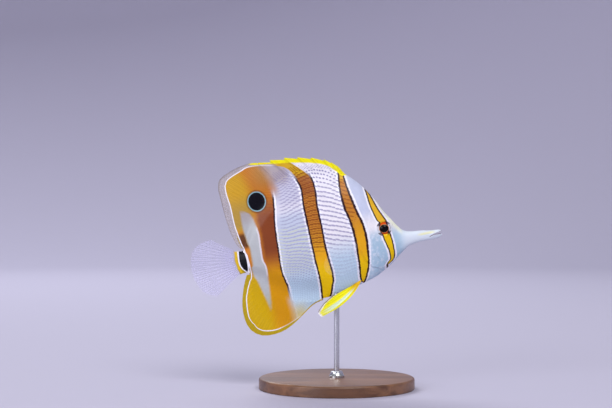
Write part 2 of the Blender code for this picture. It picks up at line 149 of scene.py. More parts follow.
# %% [markdown]
# ## The body's lines
#
# Three lines and one number make the body: the back, the belly, the half width, and how sharp the
# section is. A butterflyfish is a disc with thin edges, so its section is a lens and not an oval. The
# snout is the other way round, a blunt tube. Beside the long fins the flank thins to the fin, where only
# the small muscles of the rays lie.

# %% Body lines
BACK_LINE = (
    (-46.2, 3.0), (-42.5, 2.2), (-40.2, 5.0), (-38.2, 10.5), (-34.5, 18.5), (-28.5, 26.5),
    (-21.0, 32.8), (-12.0, 36.8), (-3.5, 38.3), (4.5, 38.0), (12.5, 36.2), (19.5, 32.8),
    (24.7, 28.0), (29.4, 22.0), (33.1, 15.9), (36.7, 8.7), (39.8, 3.9), (42.4, -0.2),
    (44.8, -3.0), (47.8, -4.4), (55.0, -5.3), (61.0, -6.3), (65.2, -6.5),
)
BELLY_LINE = (
    (-46.2, -10.2), (-42.5, -9.8), (-40.0, -11.2), (-35.1, -16.3), (-29.1, -22.4), (-21.9, -27.4),
    (-14.0, -30.2), (-5.4, -31.2), (3.0, -30.8), (10.9, -29.2), (18.3, -27.3), (25.1, -25.5),
    (30.7, -22.9), (36.7, -19.2), (42.0, -15.2), (47.6, -12.1), (54.9, -11.2), (60.3, -11.3),
    (65.2, -10.7),
)
HALF_WIDTH = (
    (-46.2, 1.0), (-44.6, 1.7), (-42.0, 2.3), (-36.0, 3.0), (-28.0, 4.2), (-18.0, 5.7), (-6.0, 7.3),
    (6.0, 8.2), (18.0, 8.3), (27.0, 7.7), (34.0, 6.3), (40.0, 4.3), (45.0, 2.8),
    (50.0, 2.1), (57.0, 1.7), (61.0, 1.7), (64.0, 1.5), (65.2, 0.9),
)
LENS = ((-46.2, 0.55), (-20.0, 0.72), (15.0, 0.74), (30.0, 0.66), (42.0, 0.52), (65.2, 0.48))
EDGE_HALF = ((-46.2, 0.6), (19.0, 0.6), (26.0, 0.35), (65.2, 0.3))
FIN_BASE_THINNING = 0.9
FIN_BASE_DEPTH = 13.0
FIN_BASE_SHARE = 0.55
TAIL_BASE_X = -46.2
SNOUT_TIP_X = 65.2
SKIN_SINK = 0.15

back_z = smooth_line(BACK_LINE)
belly_z = smooth_line(BELLY_LINE)
half_width = smooth_line(HALF_WIDTH)
lens_power = smooth_line(LENS)
edge_half = smooth_line(EDGE_HALF)


def fin_base(x, z):
    """How much the flank has thinned towards the long fins at a point of the side view."""
    depth = np.minimum(FIN_BASE_DEPTH, FIN_BASE_SHARE * (back_z(x) - belly_z(x)) / 2)
    by_back = (1 - smooth_step((back_z(x) - z) / depth, 0, 1)) * (1 - smooth_step(x, 10, 20))
    by_belly = (1 - smooth_step((z - belly_z(x)) / depth, 0, 1)) * (1 - smooth_step(x, -9, 2))
    return FIN_BASE_THINNING * np.maximum(by_back, by_belly) * smooth_step(x, -43, -40)


def section(x):
    """The middle height and the half depth of the skin at x."""
    return (back_z(x) + belly_z(x)) / 2, (back_z(x) - belly_z(x)) / 2 - SKIN_SINK


def flank(x, turn):
    """(half thickness, height) of the bare body at x, from the back (turn 0) to the belly (turn 1)."""
    middle, half = section(x)
    edge = edge_half(x) - SKIN_SINK
    z = middle + half * np.cos(np.pi * turn)
    bulge = np.clip(np.sin(np.pi * turn), 0, 1) ** (2 * lens_power(x)) * (1 - fin_base(x, z))
    return edge + (half_width(x) - SKIN_SINK - edge) * bulge, z


def turn_at(x, z):
    """How far round the section a point of the side view lies."""
    middle, half = section(x)
    return np.arccos(np.clip((z - middle) / half, -1, 1)) / np.pi


stations = np.linspace(TAIL_BASE_X, SNOUT_TIP_X, 200)
depths, widths = back_z(stations) - belly_z(stations), 2 * half_width(stations)
body_size = (SNOUT_TIP_X - TAIL_BASE_X, max(depths), max(widths))
print("body's length, depth and width, mm:", [round(float(size), 1) for size in body_size])


# %% [markdown]
# ## Relief on the head
#
# The head is not smooth: the orbit has a raised rim, the gill cover ends in a free edge, two nostrils
# sit before each eye, and the lips are swollen. Each is a small height added to the flank, worked out
# in the side view from one distance, so that skin and scales rise and fall together.

# %% Relief
EYE_AT = (34.8, -0.3)
EYE_RADII = (3.6, 2.6, 3.6)
EYE_PROUD = 1.0
NOSTRILS = ((38.7, 1.9), (40.1, 0.6))
COVER_EDGE = (
    (-23.0, 31.0), (-20.8, 28.0), (-19.0, 24.8), (-14.0, 21.4), (-7.0, 19.8), (0.0, 19.7), (6.2, 20.6),
    (8.6, 22.8), (9.6, 26.0),
)
CHEEK_EDGE = ((-20.0, 34.0), (-17.0, 29.6), (-10.0, 27.2), (0.0, 26.4), (7.0, 27.4), (12.0, 30.5))
MOUTH_LINE = ((57.0, -9.9), (58.6, -9.45), (60.3, -8.85), (64.9, -8.2), (66.0, -8.1))
PECTORAL_AT = (18.2, -7.6)

cover_edge_x = smooth_line(COVER_EDGE)
cheek_edge_x = smooth_line(CHEEK_EDGE)
mouth_z = smooth_line(MOUTH_LINE)


def relief(x, z):
    """Height of the head's details over the plain flank, in millimetres."""
    eye = np.hypot(x - EYE_AT[0], z - EYE_AT[1])
    high = 0.22 * bump(eye - 4.1, 0.6) - 0.75 * (1 - smooth_step(eye, 2.9, 3.7))
    ahead = x - cover_edge_x(z)
    beside = smooth_step(z, -23.5, -19.0) * (1 - smooth_step(z, 6.5, 9.6))
    high = high + beside * 0.42 * smooth_step(ahead, -0.25, 0.35) * np.exp(-np.clip(ahead, 0, None) / 5.0)
    cheek = x - cheek_edge_x(z)
    along_cheek = smooth_step(z, -20.0, -15.0) * (1 - smooth_step(z, 6.0, 11.0))
    high = high - along_cheek * 0.16 * bump(cheek, 0.45) + along_cheek * 0.12 * bump(cheek - 1.1, 0.8)
    for place in NOSTRILS:
        away = np.hypot(x - place[0], z - place[1])
        high = high + 0.1 * bump(away - 0.55, 0.22) - 0.45 * bump(away, 0.34)
    to_mouth = np.abs(z - mouth_z(x))
    high = high + 0.16 * bump(to_mouth - 0.6, 0.4) * smooth_step(x, 57.5, 59.5)
    high = high - 0.35 * bump(np.hypot(x - 41.0, (z + 3.0) / 1.6), 2.2)
    base = np.hypot((x - PECTORAL_AT[0]) / 0.8, z - PECTORAL_AT[1])
    return high + 0.3 * bump(base, 2.6)


def side_y(x, z):
    """Half thickness of the skin at a point of the side view, out to the scaled bases of the fins."""
    y, _ = flank(x, turn_at(x, z))
    inside = np.minimum(back_z(x) - z, z - belly_z(x))
    return y + relief(x, z) * smooth_step(inside, 0.0, 2.0) - 0.1 * smooth_step(-inside, 0.0, 4.0)


# %% [markdown]
# ## One half, then its mirror image
#
# Every soft piece here is a sheet that bulges to both sides of one plane: the body itself, and each
# fin. A grid makes one side. Its border is drawn in to the plane, the grid is mirrored, and the two
# halves share that border, so the piece is closed by its making.

# %% Mirrored sheets
MERGE = 1e-4


def mirrored_sheet(places, marks=()):
    """A closed bmesh from a (columns, rows, 3) array of places on the +Y side and its mirror image. Each
    mark is a name and a (columns, rows) array, kept on the points under that name."""
    places = np.pad(places, ((1, 1), (1, 1), (0, 0)), mode="edge")
    places[[0, -1], :, 1] = 0
    places[:, [0, -1], 1] = 0
    marks = [(name, np.pad(values, 1, mode="edge")) for name, values in marks]
    columns, rows = places.shape[:2]
    bm = bmesh.new()
    bmesh.ops.create_grid(bm, x_segments=columns - 1, y_segments=rows - 1, size=1)
    layers = [bm.verts.layers.float.new(name) for name, _ in marks]
    for v in bm.verts:
        i = round((v.co.x + 1) / 2 * (columns - 1))
        j = round((v.co.y + 1) / 2 * (rows - 1))
        v.co = places[i, j]
        for layer, (_, values) in zip(layers, marks):
            v[layer] = values[i, j]
    bmesh.ops.remove_doubles(bm, verts=bm.verts, dist=MERGE)
    bmesh.ops.dissolve_degenerate(bm, edges=bm.edges, dist=MERGE)
    bmesh.ops.mirror(bm, geom=bm.verts[:] + bm.edges[:] + bm.faces[:], axis="Y", merge_dist=MERGE)
    bmesh.ops.remove_doubles(bm, verts=bm.verts, dist=MERGE)
    bmesh.ops.recalc_face_normals(bm, faces=bm.faces)
    return bm


# %% [markdown]
# ## From a bmesh to a finished piece
#
# A piece is a mesh whose places are already final, on an object that sits at the origin. It rides on
# the model's one body and stands for the blocks that it covers. All its points are read and written in
# one go, because a coat of scales has too many for a loop.

# %% Pieces
def points_of(mesh):
    """The places of a mesh's points, a row of three for each."""
    points = np.empty(len(mesh.vertices) * 3, np.float32)
    mesh.vertices.foreach_get("co", points)
    return points.reshape(-1, 3)


def in_scene(name, data):
    """A new object in the scene with this mesh, light or camera."""
    made = bpy.data.objects.new(name, data)
    bpy.context.scene.collection.objects.link(made)
    return made


def finished(name, mesh, finish, replaced=(), place=posed, sharp=40):
    """Puts a mesh in millimetres in its place as an object, with its finish and replaced blocks."""
    mesh.vertices.foreach_set("co", place(points_of(mesh)).astype(np.float32).ravel())
    mesh.update()
    mesh.shade_smooth()
    mesh.set_sharp_from_angle(angle=math.radians(sharp))
    mesh.materials.append(finish)
    piece = in_scene(name, mesh)
    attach(piece, "root")
    if replaced:
        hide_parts(*replaced)
    print(f"{name}: {len(mesh.polygons)} faces")


def as_mesh(name, bm):
    """The mesh of a bmesh, which is used up."""
    mesh = bpy.data.meshes.new(name)
    bm.to_mesh(mesh)
    bm.free()
    return mesh


# %% [markdown]
# ## Shader maths as Python
#
# Marks on a fish are distances: so far inside a bar, so far from a line. Written as Math nodes by hand
# they fill a page. A small class that wraps a socket lets the same sums be written as ordinary Python,
# and each operator adds its node.

# %% Shader values
class Value:
    """A shader socket that takes part in Python arithmetic."""

    def __init__(self, finish, socket):
        self.finish = finish
        self.socket = socket

    def maths(self, operation, *others):
        feeds = dict(enumerate((self, *others)))
        return self.finish.node("ShaderNodeMath", {"operation": operation}, feeds)

    def __add__(self, other):
        return self.maths("ADD", other)

    __radd__ = __add__

    def __mul__(self, other):
        return self.maths("MULTIPLY", other)

    __rmul__ = __mul__

    def __sub__(self, other):
        return self.maths("SUBTRACT", other)

    def __rsub__(self, other):
        return self.finish.node("ShaderNodeMath", {"operation": "SUBTRACT"}, {0: other, 1: self})

    def __truediv__(self, other):
        return self.maths("DIVIDE", other)

    def smaller(self, other):
        return self.maths("MINIMUM", other)

    def larger(self, other):
        return self.maths("MAXIMUM", other)

    def size(self):
        return self.maths("ABSOLUTE")

    def beside(self, other):
        """The length of the long side of a right angle between two values."""
        return (self * self + other * other).maths("SQRT")

    def wave(self):
        """1 at each whole number and 0 half way between."""
        return (self * (2 * math.pi)).maths("COSINE") * 0.5 + 0.5

    def step(self, low, high):
        """0 up to low and 1 from high, with a smooth rise, or fall where low is the larger."""
        limits = {"Value": self, "From Min": low, "From Max": high}
        return self.finish.node("ShaderNodeMapRange", {"interpolation_type": "SMOOTHSTEP"}, limits)

    def near(self, width, soft):
        """1 where the value is within the width of 0, fading over the soft distance."""
        return self.size().step(width + soft, width)

    def smaller_smooth(self, other, blend):
        """The smaller of two values, with the corner between them rounded over the blend."""
        return self.maths("SMOOTH_MIN", other, blend)

    def curve(self, points):
        """A smooth curve through (input, output) points, level outside them."""
        ins, outs = zip(*points)
        low, high, bottom, top = min(ins), max(ins), min(outs), max(outs)
        inner = [((a - low) / (high - low), (b - bottom) / (top - bottom)) for a, b in points]
        limits = {"Value": self, "From Min": low, "From Max": high}
        share = self.finish.node("ShaderNodeMapRange", {"clamp": True}, limits)
        made = self.finish.node("ShaderNodeFloatCurve", {"points": inner}, {"Value": share})
        return made * (top - bottom) + bottom


# %% [markdown]
# ## A finish
#
# A real surface is built up in coats, and so is a finish: a ground colour, then marks laid over it one
# by one, each only where its share says. One method adds every node, so the rest of the lesson can say
# what is painted and leave out how nodes are wired.

# %% Finishes
class Finish:
    """One material's node tree, and the one method that adds a node to it."""

    def __init__(self, name):
        self.material = bpy.data.materials.new(name)
        self.material.use_nodes = True
        self.tree = self.material.node_tree
        self.shader = self.tree.nodes["Principled BSDF"]

    def node(self, kind, settings=None, feeds=None, out=0):
        made = self.tree.nodes.new(kind)
        for key, value in (settings or {}).items():
            if key == "points":
                self.bend_curve(made, value)
            else:
                setattr(made, key, value)
        for key, value in (feeds or {}).items():
            self.feed(made.inputs[key], value)
        return Value(self, made.outputs[out])

    def feed(self, socket, value):
        if isinstance(value, Value):
            self.tree.links.new(value.socket, socket)
        elif isinstance(value, tuple) and len(value) == 3 and len(socket.default_value) == 4:
            socket.default_value = (*value, 1.0)
        else:
            socket.default_value = value

    def bend_curve(self, made, points):
        curve = made.mapping.curves[0]
        while len(curve.points) < len(points):
            curve.points.new(0.5, 0.5)
        for point, place in zip(curve.points, sorted(points)):
            point.location = place
        made.mapping.update()

    def mix(self, share, first, second):
        """A colour between two others."""
        return self.node("ShaderNodeMix", {"data_type": "RGBA"}, {0: share, 6: first, 7: second}, out=2)

    def over(self, colour, *marks):
        """A colour with marks laid over it in turn, each a pair of its share and its colour."""
        for share, tint in marks:
            colour = self.mix(share, colour, tint)
        return colour

    def shade(self, colour, share, factor):
        """A colour made darker or lighter by a factor where the share is 1."""
        scaled = {"data_type": "RGBA", "blend_type": "MULTIPLY"}
        return self.node("ShaderNodeMix", scaled, {0: share, 6: colour, 7: (factor,) * 3}, out=2)

    def mark(self, name):
        """The value that the mesh keeps on its points under a name."""
        return self.node("ShaderNodeAttribute", {"attribute_name": name}, out=2)

    def own_place(self):
        """The point's place on its own object, which is a vector."""
        return self.node("ShaderNodeTexCoord", out=3)

    def mapped(self, vector, kind="POINT", **feeds):
        """A vector turned, moved or stretched."""
        return self.node("ShaderNodeMapping", {"vector_type": kind}, {"Vector": vector, **feeds})

    def noise(self, vector, scale, detail=2.0, **feeds):
        feeds = {"Vector": vector, "Scale": scale, "Detail": detail, **feeds}
        return self.node("ShaderNodeTexNoise", {}, feeds)

    def bumped(self, height, distance):
        """The normal of a surface with a height in metres times the distance."""
        return self.node("ShaderNodeBump", {}, {"Height": height, "Distance": distance, "Strength": 1.0})

    def surface(self, gloss=0.25, **feeds):
        """Feeds the main shader, whose sockets are named with _ for a space, and gives the material."""
        self.shader.inputs["Specular IOR Level"].default_value = gloss
        for key, value in feeds.items():
            self.feed(self.shader.inputs[key.replace("_", " ")], value)
        return self.material


def srgb(red, green, blue):
    """A colour read as 0 to 255 from a screen, in the linear numbers that shaders use."""
    shares = (c / 255 for c in (red, green, blue))
    return tuple(c / 12.92 if c <= 0.04045 else ((c + 0.055) / 1.055) ** 2.4 for c in shares)


# %% [markdown]
# ## Where a shader finds itself on the fish
#
# The pattern must not swim when the camera moves, so it reads the object's own coordinates. A Mapping
# node set to Texture undoes the pose: its answer is again in millimetres on the level fish.

# %% Fish coordinates
def level_fish(finish):
    """The whole place, X and Z of a point on the level fish, in millimetres."""
    pose = {"Location": FISH_AT * MM, "Rotation": (0.0, -PITCH, 0.0), "Scale": (MM,) * 3}
    place = finish.mapped(finish.own_place(), "TEXTURE", **pose)
    x, z = (finish.node("ShaderNodeSeparateXYZ", {}, {"Vector": place}, out=k) for k in (0, 2))
    return place, x, z


# %% [markdown]
# ## The pattern
#
# Each bar is kept as two lines in the side view, its rear edge and its front edge, read off a ruler laid
# along the fish. How far inside a bar a point lies is the smaller of its distances from the two. From
# that one number come the pale outline, the dark edge and the copper inside, painted in that order. A
# line's points are (height, place) pairs, and those of RIDGE, the fins' upper and lower lines and
# SPINE_MARGIN are (place, height).

# %% Pattern lines
BAR_1 = (
    ((-19.8, 32.6), (-18.2, 34.0), (-16.4, 35.3), (-13.5, 35.3), (-8.8, 34.4), (-4.7, 33.5), (2.7, 33),
     (4.6, 31.9), (9.3, 30.6), (14.2, 29.6), (20.2, 29.1), (22.5, 28.8)),
    ((-19.9, 33.4), (-18.8, 35.4), (-17.2, 37.3), (-15.4, 38.1), (-12.3, 38.3), (-7.7, 38.2),
     (-4.2, 37.8), (2.4, 37.2), (6.4, 35.7), (11, 33.7), (16.4, 32), (21.2, 30.2), (23, 28.8)),
)
BAR_2 = (
    ((-26.8, 18.9), (-24.8, 17.4), (-17.3, 18), (-10.2, 18.2), (-3.1, 18.3), (4.6, 17.7), (10.5, 16.7),
     (16.2, 15.6), (24.7, 15.4), (30.8, 16), (36, 16.5)),
    ((-27, 19.3), (-22.2, 21.9), (-15.5, 23.9), (-9.4, 24.6), (-3.1, 25), (3.3, 24.6), (10, 22.9),
     (16.3, 21.6), (25.1, 19.9), (32.4, 19.2), (36, 19)),
)
BAR_3 = (
    ((-31, -5), (-19.7, -4.3), (-11.2, -4.8), (-1.9, -5), (8.3, -5.2), (20.3, -5.4), (28.7, -5),
     (33.5, -6.2), (39.4, -9.4), (42, -12), (43.5, -15.5), (45, -19)),
    ((-31.5, -0.3), (-26, 2), (-19.1, 3.6), (-13.6, 3.2), (-4.2, 2.5), (6.8, 2.5), (18.8, 2.3),
     (25.9, 2.8), (32.3, 2.4), (38, -0.6), (39.6, -2.2), (42.7, -5.4), (45, -8)),
)
BAR_4_FRONT = (
    (-34, -20.5), (-25.4, -21.3), (-21.6, -21.5), (-17, -22.4), (-11, -23.1), (-0.1, -22.7),
    (7.5, -22.4), (15.1, -21.7), (22.6, -20.6), (28.7, -20.2), (34.2, -20.6), (38, -21.5), (44, -24),
)
PATCH_FRONT = (
    (-32, -33.4), (-31.6, -32.8), (-23.3, -31.8), (-16, -31.4), (-8.7, -31.1), (-4.5, -32.1), (1.7, -32),
    (9.3, -31.7), (14.9, -32.5), (19.8, -33.9), (22.4, -36.5), (23.8, -39.5),
)
PATCH_BACK = (
    (-32, -33.4), (-24, -35.2), (-16, -37.2), (-8.1, -39.1), (-6.6, -38.1), (-4.6, -38), (-1, -37.9),
    (3.1, -37.9), (5.4, -38.6), (7.5, -38.9), (16, -39.8), (23.8, -39.5),
)
LINE_BACK = (
    (-37.9, -43.8), (-32.4, -45.7), (-26.2, -45.4), (-20.2, -43.9), (-14.8, -41.5), (-10, -39.8),
    (3, -41.2), (5, -41.8), (8.2, -42.5), (11.7, -43.1), (18.2, -43.9), (26.5, -44.1), (30.8, -44.6),
    (35.9, -45), (39.2, -44.3),
)
LINE_TOP = (
    (-46, 38), (-44, 40.5), (-43.5, 40.9), (-40.5, 42.6), (-34.8, 44.7), (-30.7, 46), (-26.9, 45.9),
    (-23.3, 45.4), (-17.7, 44.4), (-12, 44.2),
)
LINE_BELOW = (
    (-46, -34), (-43.8, -37.9), (-41.1, -41.2), (-37.7, -42.6), (-33, -43), (-28, -42.1), (-21.3, -39.7),
    (-14, -36.5), (-5, -33),
)
ANAL_EDGE = ((-27, -42.6), (-21.1, -40.2), (-15.2, -36.2), (-10.5, -33.1), (-5, -31.2))
SPINE_MARGIN = (
    (-30, 47.2), (-27.5, 46.6), (-19.6, 45.6), (-15.7, 45), (-10.2, 44.4), (-6.7, 43.8), (3.1, 41.8),
    (10.4, 39.2), (14.4, 35.9), (18.2, 31.7),
)
LENS_FRONT = ((-9.4, -41.8), (-4.7, -40.85), (-1.2, -41.0), (1.3, -41.9))
LENS_BACK = ((-9.4, -41.8), (-8.4, -42.7), (-7, -43.8), (-4, -44.75), (0, -44.6), (1.6, -44.4))
LENS_WHITE = ((-8.3, -40.4), (-6.3, -40), (-4.3, -39.9), (-1.2, -39.85), (0.5, -40.4), (2.4, -41.1))
TAIL_YELLOW = ((-9.8, -44.05), (-7.4, -45.6), (-4.5, -46.1), (-2.5, -46.4), (0.3, -46.1))
RIDGE = ((26, 23.5), (29.4, 19.5), (33.1, 13.5), (36.7, 6.8), (40, 1), (44, -4))
OCELLUS_AT = (-29.6, 26.9)
OCELLUS_RADIUS = 4.6

PEARL = srgb(238, 234, 240)
NAPE_BLUE = srgb(191, 199, 226)
LILAC = srgb(180, 180, 206)
MIST = srgb(196, 203, 222)
# Blue-white of the lower flank: partly the fish's own tint, partly painted shade, as the low flank is
# darker.
BELLY_BLUE_AND_SHADE = srgb(192, 215, 234)
CHEEK_BLUE = srgb(170, 199, 220)
LAVENDER = srgb(118, 112, 166)
ROW_BROWN = srgb(120, 46, 14)
NET_BLUE = srgb(132, 156, 184)
CREAM = srgb(238, 240, 216)
SNOUT_WHITE = srgb(212, 221, 232)
OUTLINE_WHITE = srgb(244, 242, 252)
EDGE_DARK = srgb(44, 14, 24)
ORANGE = srgb(236, 172, 24)
COPPER = srgb(192, 124, 44)
GOLD = srgb(240, 197, 4)
MAROON = srgb(122, 54, 30)
AMBER = srgb(200, 122, 36)
SWEPT_GOLD = srgb(208, 164, 30)
EYE_BAR_OCHRE = srgb(232, 182, 46)
LOBE_GOLD = srgb(206, 158, 40)
LOBE_BROWN = srgb(184, 148, 66)
HAZE = srgb(172, 134, 80)
SMOKE = srgb(172, 158, 160)
LOBE_YELLOW = srgb(226, 186, 30)
SAND = srgb(206, 184, 96)
LOW_GOLD = srgb(212, 148, 4)
ANAL_YELLOW = srgb(208, 168, 2)
OLIVE = srgb(184, 156, 12)
OLIVE_WHITE = srgb(214, 216, 156)
CLEAR_BROWN = srgb(190, 178, 176)
SPINE_YELLOW = srgb(242, 230, 0)
PATCH_GREY = srgb(184, 187, 190)
PATCH_TOE = srgb(182, 180, 156)
STRIP_BROWN = srgb(104, 60, 26)
NAVY = srgb(2, 2, 14)
PALE_CYAN = srgb(138, 178, 188)
# Inside of the mouth: the lips' pinkish flesh, darkened as painted shade in the opening.
MOUTH = srgb(112, 72, 92)

# %% [markdown]
# ## Bars
#
# On the real fish a bar has a bright pale outline, then a dark edge, then its own colour. All three are
# bands of one number, the depth inside the bar. A little noise is added to that number, because a bar
# that follows scales is never ruled with a straight edge.

# %% Bars
PALE_BAND = (-1.25, -0.8)
DARK_BAND = (-0.25, 0.05)


def inside(x, z, edges, wobble, rear=0.0):
    """How far inside a bar a point lies, in millimetres, less than 0 outside it. A rear above 0 leaves
    its rear edge a thinner dark line."""
    back, front = edges
    return (x - z.curve(back) + rear).smaller(z.curve(front) - x) + wobble


def edged(finish, colour, depth, strength=1.0):
    """A colour with a bar's pale outline and its dark edge over it."""
    return finish.over(colour, (depth.step(*PALE_BAND) * strength, OUTLINE_WHITE),
                       (depth.step(*DARK_BAND) * strength, EDGE_DARK))


def bar(finish, colour, depth, fill, edge=0.9, strength=1.0):
    """A colour with a bar over it: pale outline, dark edge, then the fill."""
    return finish.mix(depth.step(edge - 0.25, edge + 0.2), edged(finish, colour, depth, strength), fill)


# %% [markdown]
# ## The rear of the pattern
#
# The last bar is the widest. It is maroon on the body and runs out golden over both soft fins, where its
# outline is lost. A grey patch lies behind it, between body and fins.

# %% Rear of the pattern
def rear_fill(finish, depth, x, z):
    """The last bar's own colours, from amber and maroon to the gold of the fins."""
    lobe = finish.mix(z.step(34.0, 22.0), LOBE_GOLD, LOBE_BROWN)
    lobe = finish.mix(z.step(-6.0, -16.0), lobe, ANAL_YELLOW)
    dark = (depth - z.step(8.0, 18.0) * 1.6).step(10.4, 6.6) * z.step(34.0, 17.0) * z.step(-13.0, 1.0)
    return finish.over(
        finish.mix(z.step(-3.0, -14.0), AMBER, LOW_GOLD),
        (depth.step(8.0, 16.0), lobe),
        (dark * 0.9, MAROON),
        (z.step(29.0, 41.0) * x.step(-36.0, -21.0) * 0.8, HAZE))


def grey_patch(finish, colour, x, z, wobble):
    """The grey patch, the golden strip behind it with its brown spot, and its pale front rim."""
    ahead, behind = z.curve(PATCH_FRONT) - x, x - z.curve(PATCH_BACK)
    patch = ahead.smaller(behind).smaller((23.0 - z) * 0.45).smaller((z + 31.0) * 0.3) + wobble * 0.6
    strip = (0.0 - behind).step(-0.6, 0.9) * (z - 1.0).near(11.0, 4.0)
    brown = finish.mix((z - 7.3).near(2.6, 2.6), AMBER, STRIP_BROWN)
    grey = finish.mix(z.step(12.0, 21.0) * 0.7, PATCH_GREY, SMOKE)
    rim = (ahead - 0.3 + wobble * 0.5).near(0.25, 0.35) * z.near(11.0, 4.0)
    return finish.over(
        colour,
        (strip, finish.mix(z.step(10.0, 15.0), brown, LOBE_GOLD)),
        (patch.step(-0.7, 0.9), finish.mix(z.step(-20.0, -30.0), grey, PATCH_TOE)),
        (rim * 0.6, OUTLINE_WHITE))


def painted_rear(finish, colour, x, z, wobble):
    """The copper bar before the tail, the grey patch behind it, and the gold of both soft fins."""
    depth = z.curve(BAR_4_FRONT) - x + wobble
    low, high, deep = z.step(-20.0, -30.0), z.step(26.0, 33.0), z.step(-25.0, -30.0)
    smoke = (x.step(-8.0, -13.0) * z.step(30.0, 38.0)).larger(depth.step(-5.5, -1.0) * z.step(24.0, 33.0))
    sand = z.step(-28.0, -37.0) * x.step(-10.0, -18.0)
    colour = finish.over(colour, (smoke * 0.85, SMOKE), (sand * 0.8, SAND))
    colour = edged(finish, colour, depth, (1.0 - high) * (1.0 - 0.85 * low))
    share = depth.step(0.55, 1.0) * (1.0 - high - deep)
    share = share + depth.step(-5.0, 3.0) * high + depth.step(-2.0, 4.0) * deep
    colour = finish.mix(share, colour, rear_fill(finish, depth, x, z))
    return grey_patch(finish, colour, x, z, wobble)


# %% [markdown]
# ## Fin margins and the tail stalk
#
# Both soft fins end in a thin margin with a white line inside it. The line runs back, down and round in
# one sweep, so it is one distance too: the smallest of the distances from three lines, with the corners
# between them rounded.

# %% Fin margins and tail stalk
def painted_margin(finish, colour, x, z):
    """The white line inside the edge of both soft fins, the margin beyond it, and how clear that is."""
    above, below = x.curve(LINE_TOP) - z, z - x.curve(LINE_BELOW)
    level = (x - z.curve(LINE_BACK)).smaller_smooth(above, 2.0).smaller_smooth(below, 2.0)
    here = x.step(-14.0, -20.0)
    front_edge = (z - x.curve(ANAL_EDGE)).step(0.15, -0.15) * x.step(-4.0, -6.0) * x.step(-26.0, -20.0)
    colour = finish.over(
        colour,
        (level.step(0.1, -0.15) * here, finish.mix(z.step(-2.0, 4.0), OLIVE, CLEAR_BROWN)),
        ((level + 0.8).near(0.2, 0.3) * here * z.step(12.0, 8.0), OLIVE),
        (level.near(0.17, 0.2) * here * (1.0 - 0.6 * x.step(-34.0, -26.0)), OUTLINE_WHITE),
        (front_edge, OLIVE))
    return colour, level.step(-0.3, -0.8) * x.step(-24.0, -30.0) * z.step(1.0, 5.0)


def painted_stalk(finish, colour, x, z):
    """The black lens on the tail stalk between two white lines, and the yellow crescent behind it."""
    here = (z + 3.9).near(6.0, 0.5)
    behind = x - z.curve(LENS_BACK)
    return finish.over(
        colour,
        ((z.curve(LENS_WHITE) - x).smaller(behind + 0.75).step(-0.1, 0.15) * here, OUTLINE_WHITE),
        ((z.curve(LENS_FRONT) - x).smaller(behind).step(-0.1, 0.15) * here, NAVY),
        ((x - z.curve(TAIL_YELLOW)).near(0.5, 0.3) * here, LOBE_YELLOW))


# %% [markdown]
# ## The whole pattern
#
# One function paints any piece from its place on the level fish: skin, scales, and the fins that carry
# the pattern on. So a bar runs over the seam between body and fin with no step. The ground is laid
# first, pearl above and pale blue below, then the rear, the bars, the fins' margins and the eyespot.

# %% Whole pattern
def painted_ground(finish, place, x, z):
    """The pale ground between the bars, from the nape's blue to the snout's white."""
    ridge = (z - x.curve(RIDGE)).step(-3.0, 1.0) * (x - 37.0).near(5.5, 3.0)
    blotch = finish.noise(place, 0.55, 3.0).step(0.45, 0.68) * (x - 30.0).near(5.0, 2.5) * z.step(8.0, 2.0)
    streak = (x - 57.0).near(2.0, 4.0) * (z + 7.3).near(0.3, 0.6)
    behind_nape = x.step(18.0, 16.0) * (0.15 + 0.6 * x.step(-4.0, -8.0))
    return finish.over(
        # Pearl above and blue-white below; the darker blue low on the flank is partly painted shade.
        finish.mix(z.step(3.0, -14.0), PEARL, BELLY_BLUE_AND_SHADE),
        (x.step(18.0, 22.0) * z.step(2.0, 12.0) * 0.9, NAPE_BLUE),
        (z.step(15.0, 27.0) * behind_nape, LILAC),
        (x.step(-2.0, -8.0) * z.step(22.0, 14.0) * z.step(-22.0, -10.0), MIST),
        (x.step(24.0, 28.0) * z.step(2.0, -6.0) * 0.9, CHEEK_BLUE),
        (x.step(40.0, 47.0), SNOUT_WHITE),
        (ridge * 0.9, CREAM),
        (blotch * 0.4, OUTLINE_WHITE),
        (streak * 0.4, SPINE_YELLOW))


def painted_bars(finish, colour, x, z, wobble):
    """The three bars before the last one, the dark corners of the eye socket, and the bars' depths."""
    first, second, third = (inside(x, z, BAR_1, wobble * 0.6, 0.1), inside(x, z, BAR_2, wobble, 0.15),
                            inside(x, z, BAR_3, wobble, 0.1))
    second = second * (1.0 - 0.22 * (z - 5.0).near(13.0, 8.0))
    colour = bar(finish, colour, first, finish.mix(z.step(-4.0, 4.0), GOLD, EYE_BAR_OCHRE), 0.62)
    dx, dz = x - EYE_AT[0], z - EYE_AT[1]
    socket = dx.beside(dz).near(3.9, 0.45) * dx.size().step(1.0, 1.7) * dz.size().step(1.5, 2.1)
    colour = finish.mix(socket * 0.85, colour, EDGE_DARK)
    warm = finish.mix(z.step(-8.0, 15.0), ORANGE, COPPER)
    deeper = finish.mix(z.step(-12.0, 12.0), ORANGE, COPPER)
    deeper = finish.mix((z - 31.0).near(4.0, 4.0) * 0.5, deeper, MAROON)
    low = z.step(-7.0, -18.0)
    warm = finish.over(warm, (low, GOLD), (z.step(28.0, 33.0), GOLD))
    deeper = finish.over(deeper, (low, GOLD), (z.step(34.0, 39.0), SWEPT_GOLD))
    colour = bar(finish, colour, second, warm)
    colour = bar(finish, colour, third, deeper, strength=z.step(40.0, 33.0))
    return colour, first.larger(second).larger(third)


